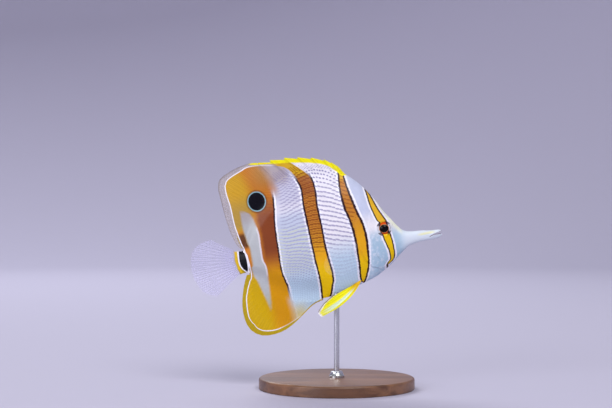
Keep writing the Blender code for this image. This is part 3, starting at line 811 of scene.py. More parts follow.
def painted(finish, place, x, z):
    """The fish's colour at a place, how clear it is there, and how far within a bar it lies."""
    wobble = (finish.noise(place, 0.9, 3.0) - 0.5) * 0.9
    colour = painted_rear(finish, painted_ground(finish, place, x, z), x, z, wobble)
    colour, within = painted_bars(finish, colour, x, z, wobble)
    colour, clear = painted_margin(finish, colour, x, z)
    yellow = (z - x.curve(SPINE_MARGIN) + wobble * 0.6).step(-0.3, 0.3) * (x + 30.0).step(-1.5, 1.5)
    away = ((x - OCELLUS_AT[0]) * 1.03).beside((z - OCELLUS_AT[1]) * 0.95) + wobble * 0.4
    colour = finish.over(
        colour,
        (yellow, SPINE_YELLOW),
        (away.step(6.4, 5.5) * 0.45, EDGE_DARK),
        (away.step(OCELLUS_RADIUS + 0.72, OCELLUS_RADIUS + 0.42), PALE_CYAN),
        (away.step(OCELLUS_RADIUS + 0.12, OCELLUS_RADIUS - 0.12), NAVY))
    within = within.larger(z.curve(BAR_4_FRONT) - x)
    return painted_stalk(finish, colour, x, z), clear * (1.0 - yellow), within


# %% [markdown]
# ## Skin
#
# The blocks of the flesh touch only across small gaps, as a mould is cut. A fish has one skin, so one
# sheet covers torso, head, snout, jaw, tail stalk and gill covers, a little inside them, where the
# scales will need their depth. The lines of the grid lie closer together on the head, which carries the
# finest detail. The tip of the snout is rounded off and the mouth is cut as a wedge.

# %% Skin shape
SKIN_ROWS = 96
ROUND_FROM_X = 62.9
ROUND_LENGTH = 2.32
MOUTH_WEDGE = (
    (70, -6.9), (64.8, -7.6), (60.2, -8.7), (58.6, -9.4), (60.4, -9.0), (64.9, -8.75), (70, -8.3),
)


def skin_stations():
    """Places along the body for the grid's lines, closest at both ends and on the head."""
    middle = np.arange(-43.0, 24.0, 0.55)
    head = np.arange(24.0, 62.5, 0.27)
    tip = 62.5 + 2.7 * np.sin(np.linspace(0, math.pi / 2, 16))
    return np.concatenate([np.linspace(TAIL_BASE_X, -43.0, 10)[:-1], middle, head, tip])


def skin_places():
    """The left half of the skin as a grid of places."""
    x, turn = np.meshgrid(skin_stations(), np.linspace(0, 1, SKIN_ROWS), indexing="ij")
    y, z = flank(x, turn)
    y = y + relief(x, z) * smooth_step(np.sin(np.pi * turn), 0.0, 0.35)
    middle, _ = section(x)
    rounded = np.sqrt(np.clip(1 - (np.clip(x - ROUND_FROM_X, 0, None) / ROUND_LENGTH) ** 2, 0.02, 1))
    return np.stack([x, y * rounded, middle + (z - middle) * (0.5 + 0.5 * rounded)], axis=-1)


def drawn_out(bm, way):
    """A bmesh of faces drawn out along a vector to a closed solid."""
    made = bmesh.ops.extrude_face_region(bm, geom=bm.faces[:])["geom"]
    bmesh.ops.translate(bm, verts=[g for g in made if isinstance(g, bmesh.types.BMVert)], vec=way)
    bmesh.ops.recalc_face_normals(bm, faces=bm.faces)
    return bm


def wedge(outline, half):
    """A closed bmesh: a side-view outline drawn out to both sides."""
    bm = bmesh.new()
    bm.faces.new([bm.verts.new((x, -half, z)) for x, z in outline])
    return drawn_out(bm, (0, 2 * half, 0))


def cut_away(bm, cutter):
    """The mesh of a closed bmesh with another taken out of it; both are used up."""
    whole, tool = (in_scene(n, as_mesh(n, b)) for n, b in (("whole", bm), ("tool", cutter)))
    cut = whole.modifiers.new("cut", "BOOLEAN")
    cut.operation, cut.solver, cut.object = "DIFFERENCE", "EXACT", tool
    bpy.context.view_layer.update()
    mesh = bpy.data.meshes.new_from_object(whole.evaluated_get(bpy.context.evaluated_depsgraph_get()))
    for made in (whole, tool):
        bpy.data.meshes.remove(made.data)
    return mesh


# %% [markdown]
# Under the scales the skin is pearly, with a little gloss. Its finest relief is left to a bump of
# pores; the shaped relief above carries the rest.

# %% Skin finish
LIP_LINE = ((57.5, -9.9), (58.6, -9.4), (60.3, -8.85), (64.8, -8.2), (67, -7.7))
MOUTH_OPEN_BY = ((58.0, 0.05), (60.3, 0.22), (64.8, 0.66), (67, 0.8))


def skin_finish():
    finish = Finish("skin")
    place, x, z = level_fish(finish)
    colour, *_ = painted(finish, place, x, z)
    # The mouth's inside is painted as flesh darkened by painted shade.
    lip = (z - x.curve(LIP_LINE)).size() - x.curve(MOUTH_OPEN_BY)
    colour = finish.mix(lip.step(0.12, -0.02) * x.step(57.6, 58.6), colour, MOUTH)
    # Painted shade inside the two nostril pits.
    front, back = ((x - px).beside(z - pz) for px, pz in NOSTRILS)
    colour = finish.mix(front.smaller(back).step(0.42, 0.26), colour, EDGE_DARK)
    pores = finish.noise(place, 2.6, 4.0)
    return finish.surface(
        gloss=0.12, Base_Color=colour, Roughness=0.36 + pores * 0.12, Coat_Weight=0.12, Coat_Roughness=0.24,
        Normal=finish.bumped(pores, 0.00012))


FLESH_NODES = ("torso", "head", "snout", "lower_jaw", "tail_stalk", "gill_cover_left", "gill_cover_right")
skin_mesh = cut_away(mirrored_sheet(skin_places()), wedge(MOUTH_WEDGE, 6.0))
finished("skin", skin_mesh, skin_finish(), FLESH_NODES, sharp=60)

# %% [markdown]
# ## Fins
#
# A fin is a thin skin stretched over rays. A soft ray is a stiff jointed rod at its root that splits in
# two, and in two again, before the margin. A spine is one sharp rod, and the skin between two spines
# hangs lower than their points. The sheet's thickness carries these rods, so they catch light on both
# sides and show in the outline. Each point remembers its place among the rays and along its ray.

# %% Fin sheets
FIN_SUNK = 1.2
RAY_COLUMNS = 12
SPINE_COLUMNS = 18


def off_edge(line_z, side, x):
    """The point on the body's outline at x, a little outside."""
    slope = (line_z(x + 0.05) - line_z(x - 0.05)) / 0.1
    away = np.array([-slope, 1.0]) * side * 0.3 / math.hypot(slope, 1.0)
    return np.array([x, line_z(x)]) + away


def soft_rods(share, reach):
    """Thickness of branching rays, 0 to 1, at a share of the way from one ray to the next."""
    from_ray = share - np.round(share)
    fork = smooth_step(reach, 0.35, 0.75) * 0.2
    twig = smooth_step(reach, 0.68, 1.0) * 0.1
    first = np.abs(np.abs(from_ray) - fork)
    width = 0.15 - 0.07 * smooth_step(reach, 0.3, 0.9)
    return bump(np.abs(first - twig), width)


def spine_rods(share, reach):
    """Thickness of plain spines, 0 to 1, which sharpen towards their tips."""
    return bump(share - np.round(share), 0.12 * (1 - 0.55 * reach))


def fin_sheet(roots, tips, columns, sections, rods, rise, notch=0.0, ends=(0.0, 0.0), bows=(0.0, 0.0),
              root_half=0.45, thin=0.12, fleshy=0.3):
    """A fin in the XZ plane. The sheet passes its first and last ray by the ends, in ray spacings. Its
    half thickness falls from root_half to thin, most of it in the first fleshy share of the rays."""
    roots, tips = np.array(roots), np.array(tips)
    count = len(roots)
    total = int((count - 1 + sum(ends)) * columns) + 1
    where, along = np.meshgrid(np.linspace(-ends[0], count - 1 + ends[1], total),
                               np.linspace(0, 1, sections), indexing="ij")
    k = np.clip(np.floor(where), 0, count - 2).astype(int)
    part = (where - k)[..., None]
    root, tip = roots[k] * (1 - part) + roots[k + 1] * part, tips[k] * (1 - part) + tips[k + 1] * part
    root = root - (tip - root) / np.linalg.norm(tip - root, axis=-1, keepdims=True) * FIN_SUNK
    past = where - np.floor(where)
    dip = notch * smooth_step(past, 0.02, 0.16) * (1 - past) * (where > 0)
    reach = along * (1 - dip)
    bow = (bows[0] + (bows[1] - bows[0]) * where / (count - 1)) * 4 * reach * (1 - reach)
    across = np.stack([-(tip - root)[..., 1], (tip - root)[..., 0]], axis=-1) * bow[..., None]
    point = root + (tip - root) * reach[..., None] + across
    half = thin + (root_half - thin) * (1 - smooth_step(reach, 0.02, fleshy + 0.02))
    half = half + rise * rods(where, reach) * (1 - 0.6 * reach) * smooth_step(reach, 0.03, 0.15)
    places = np.stack([point[..., 0], half, point[..., 1]], axis=-1)
    return places, (("ray", where), ("reach", reach))


def membrane_sway(x, z, reach):
    """How far a relaxed membrane stands to the left in its faint waves, which start clear of the body."""
    return 0.25 * np.sin(0.32 * x + 0.21 * z) * smooth_step(reach, 0.15, 0.5)


def waved(mesh):
    """A median fin's mesh with the waves of its membrane."""
    points = points_of(mesh)
    reach = np.empty(len(points), np.float32)
    mesh.attributes["reach"].data.foreach_get("value", reach)
    points[:, 1] += membrane_sway(points[:, 0], points[:, 2], reach)
    mesh.vertices.foreach_set("co", points.ravel())
    return mesh


# %% [markdown]
# The fins that stand on the back, belly and tail carry the body's pattern on. Their rays show as paler
# or darker lines, the clear parts let light through, and each soft ray has the fine cross joints that
# let it bend.

# %% Patterned fin finish
def ray_marks(finish):
    """The ray and reach marks, and how much of a rod is there."""
    ray, reach = finish.mark("ray"), finish.mark("reach")
    fork = reach.step(0.35, 0.75) * 0.2
    return ray, reach, (((ray + 0.5).maths("FRACT") - 0.5).size() - fork).near(0.07, 0.06)


def fin_finish(name, rod_shade, clear_tail=False, spined=False):
    finish = Finish(name)
    place, x, z = level_fish(finish)
    colour, clear, _ = painted(finish, place, x, z)
    ray, reach, rod = ray_marks(finish)
    if spined:
        # Painted shade just behind each spine, where the membrane dips between the spines' points.
        colour = finish.shade(colour, ray.maths("FRACT").step(0.34, 0.06) * 0.5, 0.7)
    among_rays = finish.node("ShaderNodeCombineXYZ", {}, {"X": ray * 2.5, "Y": reach * 1.2})
    streak = finish.noise(among_rays, 3.0, 3.0)
    colour = finish.shade(colour, rod * rod_shade, 0.6)
    colour = finish.shade(colour, streak.step(0.4, 0.75) * 0.25, 0.75)
    joints = (reach * 60.0).wave() * reach.step(0.25, 0.4) * rod
    rim = reach.step(0.95, 1.0)
    colour = finish.shade(colour, clear * rim, 0.6)
    alpha = 1.0 - clear * (1.0 - rod * 0.35) * (0.7 - 0.35 * rim)
    if clear_tail:
        beyond = (x - z.curve(TAIL_YELLOW)).step(-0.5, -1.6)
        glass = finish.mix(rod, srgb(196, 192, 228), srgb(212, 208, 238))
        colour = finish.mix(beyond, colour, glass)
        alpha = 1.0 - beyond * (1.0 - rod * 0.16) * (0.66 + 0.14 * reach.step(0.05, 0.6))
    return finish.surface(
        gloss=0.2, Base_Color=colour, Roughness=0.45, Alpha=alpha, Coat_Weight=0.03, Coat_Roughness=0.2,
        Normal=finish.bumped(streak * 0.4 + joints * 0.4, 0.00004))


# %% [markdown]
# Each fin now needs only its roots on the body's outline, the margin that its tips reach, and the count
# of its rays. The spines stand unevenly, so their roots and tips are given one by one.

# %% Fins on back, belly and tail
def median_fin(name, sheet, finish):
    places, marks = sheet
    mesh = waved(as_mesh(name, mirrored_sheet(places, marks)))
    finished(name + "_membrane", mesh, finish, (name,))


SPINE_ROOTS_X = (19.0, 17.4, 15.4, 12.6, 8.4, 3.2, -3.0, -9.8, -16.4)
SPINE_TIPS = (
    (18.2, 35.6), (16.6, 37.9), (14.0, 40.0), (10.6, 42.2), (3.8, 44.6), (-3.4, 46.2),
    (-10.4, 47.3), (-18.3, 47.5), (-25.0, 47.4),
)
DORSAL_ROOTS_X = (-17.0, -41.1)
DORSAL_MARGIN = (
    (-25.6, 47.4), (-29.0, 47.75), (-33.0, 47.5), (-38.5, 46.2), (-44.2, 44.1), (-47.4, 42.0),
    (-48.8, 37.4), (-48.5, 30.5), (-47.9, 21.5), (-46.6, 12.2), (-44.9, 6.6), (-43.2, 3.4),
)
ANAL_ROOTS_X = (-5.2, -40.6)
ANAL_MARGIN = (
    (-6.0, -31.9), (-10.5, -33.7), (-15.2, -36.8), (-21.1, -40.8), (-25.7, -43.3), (-29.7, -44.7),
    (-35.3, -45.3), (-40.5, -44.7), (-44.9, -42.0), (-47.4, -37.8), (-48.3, -32.0), (-47.8, -25.7),
    (-45.9, -18.7), (-43.8, -13.6), (-42.4, -11.0),
)
TAIL_ROOTS = ((-46.2, 2.7), (-46.2, -9.9))
TAIL_MARGIN = (
    (-58.2, 11.3), (-64.8, 10.0), (-69.4, 6.6), (-71.6, 0.4), (-71.6, -6.0), (-69.8, -12.2),
    (-66.4, -17.0), (-60.6, -19.4),
)


def outline_roots(line_z, side, span, count):
    return by_length([off_edge(line_z, side, x) for x in np.linspace(*span, 160)], count)


spiny = fin_sheet(
    [off_edge(back_z, 1, x) for x in SPINE_ROOTS_X], SPINE_TIPS, SPINE_COLUMNS, 26, spine_rods, 0.32,
    notch=0.13, ends=(0.0, 0.3), fleshy=0.7, thin=0.16)
soft = fin_sheet(
    outline_roots(back_z, 1, DORSAL_ROOTS_X, 29), margin_points(DORSAL_MARGIN, 29), RAY_COLUMNS, 28,
    soft_rods, 0.12, fleshy=0.8, thin=0.11)
anal = fin_sheet(
    outline_roots(belly_z, -1, ANAL_ROOTS_X, 23), margin_points(ANAL_MARGIN, 23), RAY_COLUMNS, 28,
    soft_rods, 0.12, fleshy=0.8, thin=0.11)
tail = fin_sheet(
    by_length(TAIL_ROOTS, 17), margin_points(TAIL_MARGIN, 17), RAY_COLUMNS, 34, soft_rods, 0.16,
    fleshy=0.25, root_half=0.8, thin=0.1)
median_fin("dorsal_fin_spiny", spiny, fin_finish("spiny_dorsal", 0.1, spined=True))
median_fin("dorsal_fin_soft", soft, fin_finish("soft_dorsal", 0.16))
median_fin("anal_fin", anal, fin_finish("anal", 0.14))
median_fin("tail_fin", tail, fin_finish("tail", 0.3, True))

# %% [markdown]
# ## Paired fins
#
# The pelvic fins hang from the breast and slant outwards. The pectoral fins open from behind the gill
# covers, and are nearly clear, as a fin that sculls all day is thin. Each starts inside the body, so no
# gap shows at its root.

# %% Paired fins
PELVIC_ROOTS = ((17.4, -25.3), (13.6, -26.6))
PELVIC_MARGIN = ((-1.5, -38.7), (-9.9, -40.8), (-7.2, -36.9), (-2.4, -32.6), (6.0, -29.1))
PECTORAL_ROOTS = ((18.6, -4.8), (17.3, -10.4))
PECTORAL_LENGTHS = ((0.0, 15.0), (0.12, 20.5), (0.3, 22.0), (0.6, 18.0), (1.0, 9.0))
PECTORAL_FALLS = (10.0, 64.0)
PECTORAL_OPEN = 20.0


def pelvic_finish():
    finish = Finish("pelvic")
    ray, reach, rod = ray_marks(finish)
    pale = (ray - 1.7).near(0.3, 0.4) * reach.step(0.12, 0.35) * reach.step(1.0, 0.7)
    colour = finish.over(
        finish.mix(reach.step(0.05, 0.45), srgb(222, 172, 0), srgb(240, 232, 0)),
        (pale * 0.85, srgb(214, 238, 214)),
        (reach.step(0.94, 1.0), OUTLINE_WHITE))
    return finish.surface(Base_Color=finish.shade(colour, rod * 0.4, 0.6), Roughness=0.45, Coat_Weight=0.03,
                          Alpha=1.0 - reach.step(0.5, 1.0) * 0.15)


def pectoral_finish():
    finish = Finish("pectoral")
    ray, reach, rod = ray_marks(finish)
    colour = finish.mix(rod, srgb(206, 210, 232), srgb(240, 240, 250))
    alpha = 0.02 + rod * 0.03 + reach.step(0.2, 0.04) * 0.1
    return finish.surface(gloss=0.08, Base_Color=colour, Roughness=0.5, Alpha=alpha)


# %% [markdown]
# The same sheet maker as before draws both fins flat. A turn of each sheet then sets it at its slant on
# one side of the body and, with the sign changed, on the other.

# %% Paired fins in place
def pelvic_sheet():
    tips = margin_points(PELVIC_MARGIN, 6)
    return fin_sheet(by_length(PELVIC_ROOTS, 6), tips, 14, 40, soft_rods, 0.2, bows=(0.09, 0.02),
                     root_half=0.55, thin=0.14, fleshy=0.35)


def pectoral_sheet():
    length = smooth_line(PECTORAL_LENGTHS)
    shares = np.linspace(0, 1, 14)
    roots = by_length(PECTORAL_ROOTS, 14)
    fall = np.radians(np.interp(shares, (0, 1), PECTORAL_FALLS))
    way = np.stack([-np.cos(fall), -np.sin(fall)], axis=-1)
    return fin_sheet(roots, roots + way * length(shares)[:, None], RAY_COLUMNS, 30, soft_rods, 0.14,
                     root_half=0.4, thin=0.09, fleshy=0.2)


def slanted(points, side):
    """The pelvic fin of one side of the level fish, hung from the breast."""
    points = np.array(points, float)
    points[:, 1] += side * (1.6 + 0.42 * (PELVIC_ROOTS[0][1] - points[:, 2]))
    return posed(points)


def opened(points, side):
    """The pectoral fin of one side of the level fish, turned out about its base."""
    base = np.mean(PECTORAL_ROOTS, axis=0)
    turn = np.array(Matrix.Rotation(-side * math.radians(PECTORAL_OPEN), 3, "Z"))
    points = (np.array(points, float) - (base[0], 0, base[1])) @ turn.T
    hinge = (base[0], side * float(side_y(*base)), base[1])
    return posed(points + hinge)


paired_finishes = {"pelvic": pelvic_finish(), "pectoral": pectoral_finish()}
for side, word in ((1, "left"), (-1, "right")):
    for kind, sheet, turned, slot in (("pelvic", pelvic_sheet, slanted, "yellow_fin"),
                                      ("pectoral", pectoral_sheet, opened, "clear_fin")):
        places, marks = sheet()
        name = f"{kind}_fin_{word}"
        mesh = as_mesh(name, mirrored_sheet(places, marks))
        finished(name + "_membrane", mesh, paired_finishes[kind], (name,),
                 place=lambda points: turned(points, side))

# %% [markdown]
# ## Eyes
#
# A fish's lens is a ball that stands out through the pupil, so the middle of the eye rises a little.
# Round the black pupil runs a thin copper ring. Beyond it the iris goes on with the bar in red, between
# two dark lines and, outside them, two pale crescents.

# %% Eyes
def eye_finish():
    finish = Finish("eye")
    place, x, z = level_fish(finish)
    dx, dz = x - EYE_AT[0], z - EYE_AT[1]
    away = dx.beside(dz)
    fibres = finish.noise(place, 3.0, 4.0)
    pupil = (dx / 2.45).beside(dz / 2.1)
    iris = finish.over(
        finish.mix(fibres.step(0.35, 0.7), srgb(226, 88, 14), srgb(178, 52, 12)),
        (dx.size().step(1.35, 1.65), srgb(40, 18, 48)),
        (dx.size().step(2.35, 2.65), srgb(222, 222, 232)),
        (pupil.step(1.14, 1.06), srgb(206, 140, 84)),
        (pupil.step(1.03, 0.98), srgb(1, 1, 4)),
        (away.step(3.25, 3.5), srgb(30, 18, 26)))
    return finish.surface(gloss=0.08, Base_Color=iris, Roughness=0.2, Coat_Weight=0.12, Coat_Roughness=0.02)


def eye_mesh():
    bm = bmesh.new()
    bmesh.ops.create_uvsphere(bm, u_segments=72, v_segments=44, radius=1)
    bmesh.ops.rotate(bm, verts=bm.verts, matrix=Matrix.Rotation(math.pi / 2, 3, "X"))
    for v in bm.verts:
        lens = bump(math.hypot(v.co.x, v.co.z), 0.5) * 0.1
        v.co = Vector((v.co.x * EYE_RADII[0], v.co.y * EYE_RADII[1] * (1 + lens), v.co.z * EYE_RADII[2]))
    return as_mesh("eye", bm)


def eye_place(side):
    x, z = EYE_AT
    y = side * (float(flank(x, turn_at(x, z))[0]) + SKIN_SINK + EYE_PROUD - EYE_RADII[1] - 0.1)
    return lambda points: posed(np.array(points, float) + (x, y, z))


glass_eye = eye_finish()
for side, word in ((1, "left"), (-1, "right")):
    finished(f"eye_{word}_ball", eye_mesh(), glass_eye, (f"eye_{word}",), place=eye_place(side))

# %% [markdown]
# ## Stand
#
# A turned walnut disc, a steel pin and a small collar where the pin enters the wood. All three are
# lathe work, so each is one profile, spun about the pin's axis.

# %% Turned solids
BASE_RADIUS = 42.0
BASE_HEIGHT = 6.0
BASE_EDGE = 1.2
BASE_FOOT = 0.4
ROD_RADIUS = 1.5
ROD_SUNK_TO = 2.0
ROD_TOP = 55.4
COLLAR_RADIUS = 3.2
COLLAR_HEIGHT = 3.3
COLLAR_FOOT = ((4.2, 0.0), (4.2, 0.9), (3.75, 1.3))


def spun(profile, steps, closed=True):
    """A bmesh of revolution about Z from a profile of (radius, height) points."""
    bm = bmesh.new()
    verts = [bm.verts.new((r, 0, z)) for r, z in profile]
    edges = [bm.edges.new(pair) for pair in zip(verts, verts[1:] + verts[:1] * closed)]
    bmesh.ops.spin(bm, geom=verts + edges, cent=(0, 0, 0), axis=(0, 0, 1), angle=2 * math.pi,
                   steps=steps, use_merge=True)
    bmesh.ops.remove_doubles(bm, verts=bm.verts, dist=MERGE)
    bmesh.ops.recalc_face_normals(bm, faces=bm.faces)
    return bm


def rounded_corner(radius, height, size, steps=8):
    """Profile points of a rounded upper outer corner."""
    turns = np.linspace(0, math.pi / 2, steps)
    return [(radius - size + size * math.cos(a), height - size + size * math.sin(a)) for a in turns]


# %% [markdown]
# Walnut is long streaks of one noise, stretched along the grain, with fine dark pores drawn out the
# same way. Polished steel is almost all reflection, so only faint lines from drawing the rod are added.

# %% Walnut and steel
def walnut():
    finish = Finish("walnut")
    here = finish.own_place()
    streaks = finish.mapped(here, Rotation=(0.0, 0.08, 0.05), Scale=(9.0, 120.0, 160.0))
    grain = finish.noise(streaks, 1.0, 6.0, Roughness=0.55, Distortion=0.9)
    pores = finish.noise(finish.mapped(here, Scale=(110.0, 2600.0, 2600.0)), 1.0, 3.0)
    colour = finish.mix(grain.step(0.34, 0.66), srgb(92, 58, 38), srgb(134, 92, 62))
    colour = finish.shade(colour, (grain * 7.0).wave() * 0.3, 0.75)
    colour = finish.shade(colour, pores.step(0.55, 0.72) * 0.6, 0.6)
    return finish.surface(
        gloss=0.5, Base_Color=colour, Roughness=0.34 + pores * 0.14, Coat_Weight=0.15, Coat_Roughness=0.25,
        Normal=finish.bumped(pores, 0.00008))


def steel():
    finish = Finish("steel")
    lines = finish.noise(finish.mapped(finish.own_place(), Scale=(2500.0, 2500.0, 120.0)), 1.0)
    return finish.surface(Base_Color=srgb(205, 207, 210), Metallic=1.0, Roughness=0.2 + lines * 0.14,
                          Normal=finish.bumped(lines, 0.00001))


base_profile = [
    (ROD_RADIUS, 0.0), (BASE_RADIUS - BASE_FOOT, 0.0), (BASE_RADIUS, BASE_FOOT),
    *rounded_corner(BASE_RADIUS, BASE_HEIGHT, BASE_EDGE), (ROD_RADIUS, BASE_HEIGHT),
]
collar_top = [*rounded_corner(COLLAR_RADIUS, COLLAR_HEIGHT, 0.4), (ROD_RADIUS, COLLAR_HEIGHT)]
collar_profile = [(r, BASE_HEIGHT + z) for r, z in ((ROD_RADIUS, 0.0), *COLLAR_FOOT, *collar_top)]
rod_profile = [(0.0, ROD_SUNK_TO), (ROD_RADIUS, ROD_SUNK_TO), (ROD_RADIUS, ROD_TOP), (0.0, ROD_TOP)]
bright = steel()
for part, form, profile, steps, finish, slot in (
        ("base", "disc", base_profile, 144, walnut(), "wood"),
        ("collar", "ring", collar_profile, 144, bright, "steel"),
        ("rod", "pin", rod_profile, 48, bright, "steel")):
    solid = as_mesh(part, spun(profile, steps))
    finished(f"{part}_{form}", solid, finish, (f"stand_{part}",), upright, 30)

# %% [markdown]
# ## Scales
#
# A scale is a thin plate rooted in a pocket of the skin, with its rounded rear edge lying on the next
# ones, like tiles. They stand in rows that lean down towards the head, each row half a scale behind its
# neighbours, and they are smaller low on the flank, on the head and on the fins. So the rows are drawn
# first, as lines that drift with the distance along the body, and the scales are set along them.

# %% Scale rows
ROW_DRIFT = (
    (-46, 5), (-40, 4), (-24, 1), (-16, -0.6), (-8, 0), (0, -0.3), (10, -3.2), (20, -6.8), (34, -11.5),
)
TRUNK_PITCH = ((-44, 1.15), (-20, 1.3), (-9, 1.6), (4, 1.9), (25, 1.9), (31, 1.5), (40, 1.4))
ROW_SPREAD = ((-44, 0.85), (-30, 0.92), (-14, 1.0), (-2, 1.26), (10, 1.36), (20, 1.2))
HEAD_PITCH = 1.02
ROW_HEIGHTS = (-54.0, 58.0)
ROW_CENTRE_Z = 8.0
ROW_LENGTH = 92
ALONG_ROW = 0.97
SCALE_END_X = 43.5
COVER_TOP_Z = 8.6
NAPE_EDGE = ((8.6, 22.8), (14.0, 25.0), (24.0, 26.0), (40.0, 24.0))
BARE_ROUND_EYE = 4.25

row_drift = smooth_line(ROW_DRIFT)
trunk_pitch = smooth_line(TRUNK_PITCH)
nape_edge_x = smooth_line(NAPE_EDGE)
row_spread = smooth_line(ROW_SPREAD)


def drift_share(z):
    """How much of its drift a row follows: all of it on the back, a quarter at the belly."""
    return 0.25 + 0.75 * smooth_step(z, -20.0, 4.0)


def lattice(pitch_at, spread_at):
    """(x, z, pitch) of roots in drifting rows. Their spacing follows a pitch given by the height, and
    they spread apart about the middle row by a share given by the place along the body."""
    heights = np.linspace(*ROW_HEIGHTS, 800)
    counted = np.concatenate([[0], np.cumsum(np.diff(heights) / pitch_at(heights[1:]))])
    rows = np.interp(np.arange(1, counted[-1]), counted, heights)
    roots = []
    for n, level in enumerate(rows):
        pitch = float(pitch_at(level))
        x = SCALE_END_X - (np.arange(int(ROW_LENGTH / pitch)) + 0.5 * (n % 2)) * pitch * ALONG_ROW
        spread = spread_at(x)
        z = ROW_CENTRE_Z + (level - ROW_CENTRE_Z) * spread
        z = z + row_drift(x) * drift_share(level)
        roots.append(np.stack([x, z, pitch * spread], axis=1))
    return np.concatenate(roots)


def body_roots():
    """Roots on the trunk and the head, which meet along the edge of the gill cover."""
    trunk, head = lattice(trunk_pitch, row_spread), lattice(lambda z: HEAD_PITCH, np.ones_like)
    sets = []
    for grid, on_head in ((trunk, False), (head, True)):
        x, z, _ = grid.T
        edge = np.where(z < COVER_TOP_Z, cover_edge_x(z), nape_edge_x(z))
        within = np.minimum(back_z(x) - z, z - belly_z(x)) > 0.1
        clear_of_eye = np.hypot(x - EYE_AT[0], z - EYE_AT[1]) > BARE_ROUND_EYE
        kept = within & clear_of_eye & ((x > edge) == on_head) & (x > TAIL_BASE_X + 1.5)
        sets.append(grid[kept])
    return np.concatenate(sets)


trunk_roots = body_roots()
print(len(trunk_roots), "scales on each side of the body")

# %% [markdown]
# One scale has a few dozen faces: a small grid drawn out to a slab, which the shape function rounds
# at the rear, domes along the middle and tilts up from its sunken root.

# %% One scale
SCALE_LENGTH = 1.62
SCALE_HALF_WIDTH = 0.66
ALONG = np.array([0.0, 0.35, 0.675, 0.913, 0.997])
ACROSS = np.array([0.72, 1.0, 0.866, 0.5, 0.12])


def scale_template():
    """Corners as (along, across, height), in row spacings, their marks, and the faces of one scale."""
    bm = bmesh.new()
    bmesh.ops.create_grid(bm, x_segments=4, y_segments=4, size=1)
    drawn_out(bm, (0, 0, 1))
    corners = np.array([v.co for v in bm.verts])
    faces = np.array([[v.index for v in face.verts] for face in bm.faces])
    bm.free()
    station = np.round((corners[:, 0] + 1) * 2).astype(int)
    along, across, top = ALONG[station], corners[:, 1] * ACROSS[station], corners[:, 2]
    dome = 0.03 * (1 - across ** 2) * along
    height = 0.088 * along - 0.055 + dome + top * (0.05 - 0.015 * along)
    return np.stack([along * SCALE_LENGTH, across * SCALE_HALF_WIDTH, height], axis=1), along, across, faces


TEMPLATE, ALONG_MARK, ACROSS_MARK, SCALE_FACES = scale_template()
print("one scale:", len(SCALE_FACES), "faces")


# %% [markdown]
# A scale needs a place for its root and two directions: rearward along its row, and across it. On the
# body both come from the shape of the flank, measured over a short step to each side. On a fin the rows
# run along the rays, and the scales get smaller towards the rays' tips.

# %% Places and directions of scales
FIN_PITCH = 1.25
SLOPE_STEP = 0.15


def unit(vectors):
    return vectors / np.linalg.norm(vectors, axis=-1, keepdims=True)


def on_flank(x, z):
    return np.stack([x, side_y(x, z), z], axis=-1)


def body_frames(roots):
    """Root places on the left flank, the two directions along and across the scale's row, and sizes."""
    x, z, pitch = roots.T
    lean = (row_drift(x + 0.5) - row_drift(x - 0.5)) * drift_share(z)
    over_x, over_z = (on_flank(x + a, z + b) - on_flank(x - a, z - b)
                      for a, b in ((SLOPE_STEP, 0.0), (0.0, SLOPE_STEP)))
    rearward = -(over_x + over_z * lean[:, None])
    return on_flank(x, z), unit(rearward), unit(over_z), pitch


def fin_frames(sheet, reach_to, every, side):
    """Roots in rows along the rays of a fin's left face, with their directions and sizes."""
    grid, ((_, where), (_, reach)) = sheet
    frames = []
    for n, i in enumerate(range(0, len(grid) - 1, every)):
        line = grid[i].copy()
        line[:, 1] += side * membrane_sway(line[:, 0], line[:, 2], reach[i])
        travel = lengths_along(line)
        end = travel[-1] * reach_to
        at = np.arange(FIN_SUNK * 0.6 + FIN_PITCH * 0.5 * (n % 2), end, FIN_PITCH)
        base, ahead = at_lengths(line, travel, at), at_lengths(line, travel, at + 0.8)
        beside = at_lengths(grid[min(i + every, len(grid) - 1)], travel, at)
        apart = np.linalg.norm((beside - base)[:, [0, 2]], axis=1)
        fade = 1.0 - 0.45 * at / max(end, 1.0)
        frames.append((base, unit(ahead - base), np.clip(apart * 1.15, 0.7, 1.7) * fade))
    base, rearward, size = (np.concatenate(part) for part in zip(*frames))
    return base, rearward, unit(np.cross(rearward, (0.0, 1.0, 0.0))), size


# %% [markdown]
# For other programs the coat's finish can be baked onto a flat map, so each scale needs a place there that
# no other has. The flank is unrolled: lengths round its sections are added up once in a table, and any
# point then finds its own length by looking between four entries.

# %% Unrolled flank
TABLE_COLUMNS = 160
TABLE_ROWS = 81


def section_arcs():
    """A table of lengths round the sections, from the middle of the flank."""
    x, turn = np.meshgrid(np.linspace(TAIL_BASE_X, SNOUT_TIP_X, TABLE_COLUMNS),
                          np.linspace(0, 1, TABLE_ROWS), indexing="ij")
    y, z = flank(x, turn)
    steps = np.hypot(np.diff(y, axis=1), np.diff(z, axis=1))
    arcs = np.concatenate([np.zeros((TABLE_COLUMNS, 1)), np.cumsum(steps, axis=1)], axis=1)
    half_way = TABLE_ROWS // 2
    return arcs[:, half_way:half_way + 1] - arcs


ARCS = section_arcs()


def unwrapped(x, z):
    """Where a point of the flank lies on the flattened skin of one side, in millimetres."""
    last_column, last_row, short = TABLE_COLUMNS - 1, TABLE_ROWS - 1, 0.001
    column = np.clip((x - TAIL_BASE_X) / (SNOUT_TIP_X - TAIL_BASE_X) * last_column, 0, last_column - short)
    row = np.clip(turn_at(x, z) * last_row, 0, last_row - short)
    i, j = column.astype(int), row.astype(int)
    a, b = column - i, row - j
    arc = ((ARCS[i, j] * (1 - a) + ARCS[i + 1, j] * a) * (1 - b)
           + (ARCS[i, j + 1] * (1 - a) + ARCS[i + 1, j + 1] * a) * b)
    return x, arc + z - np.clip(z, belly_z(x), back_z(x))


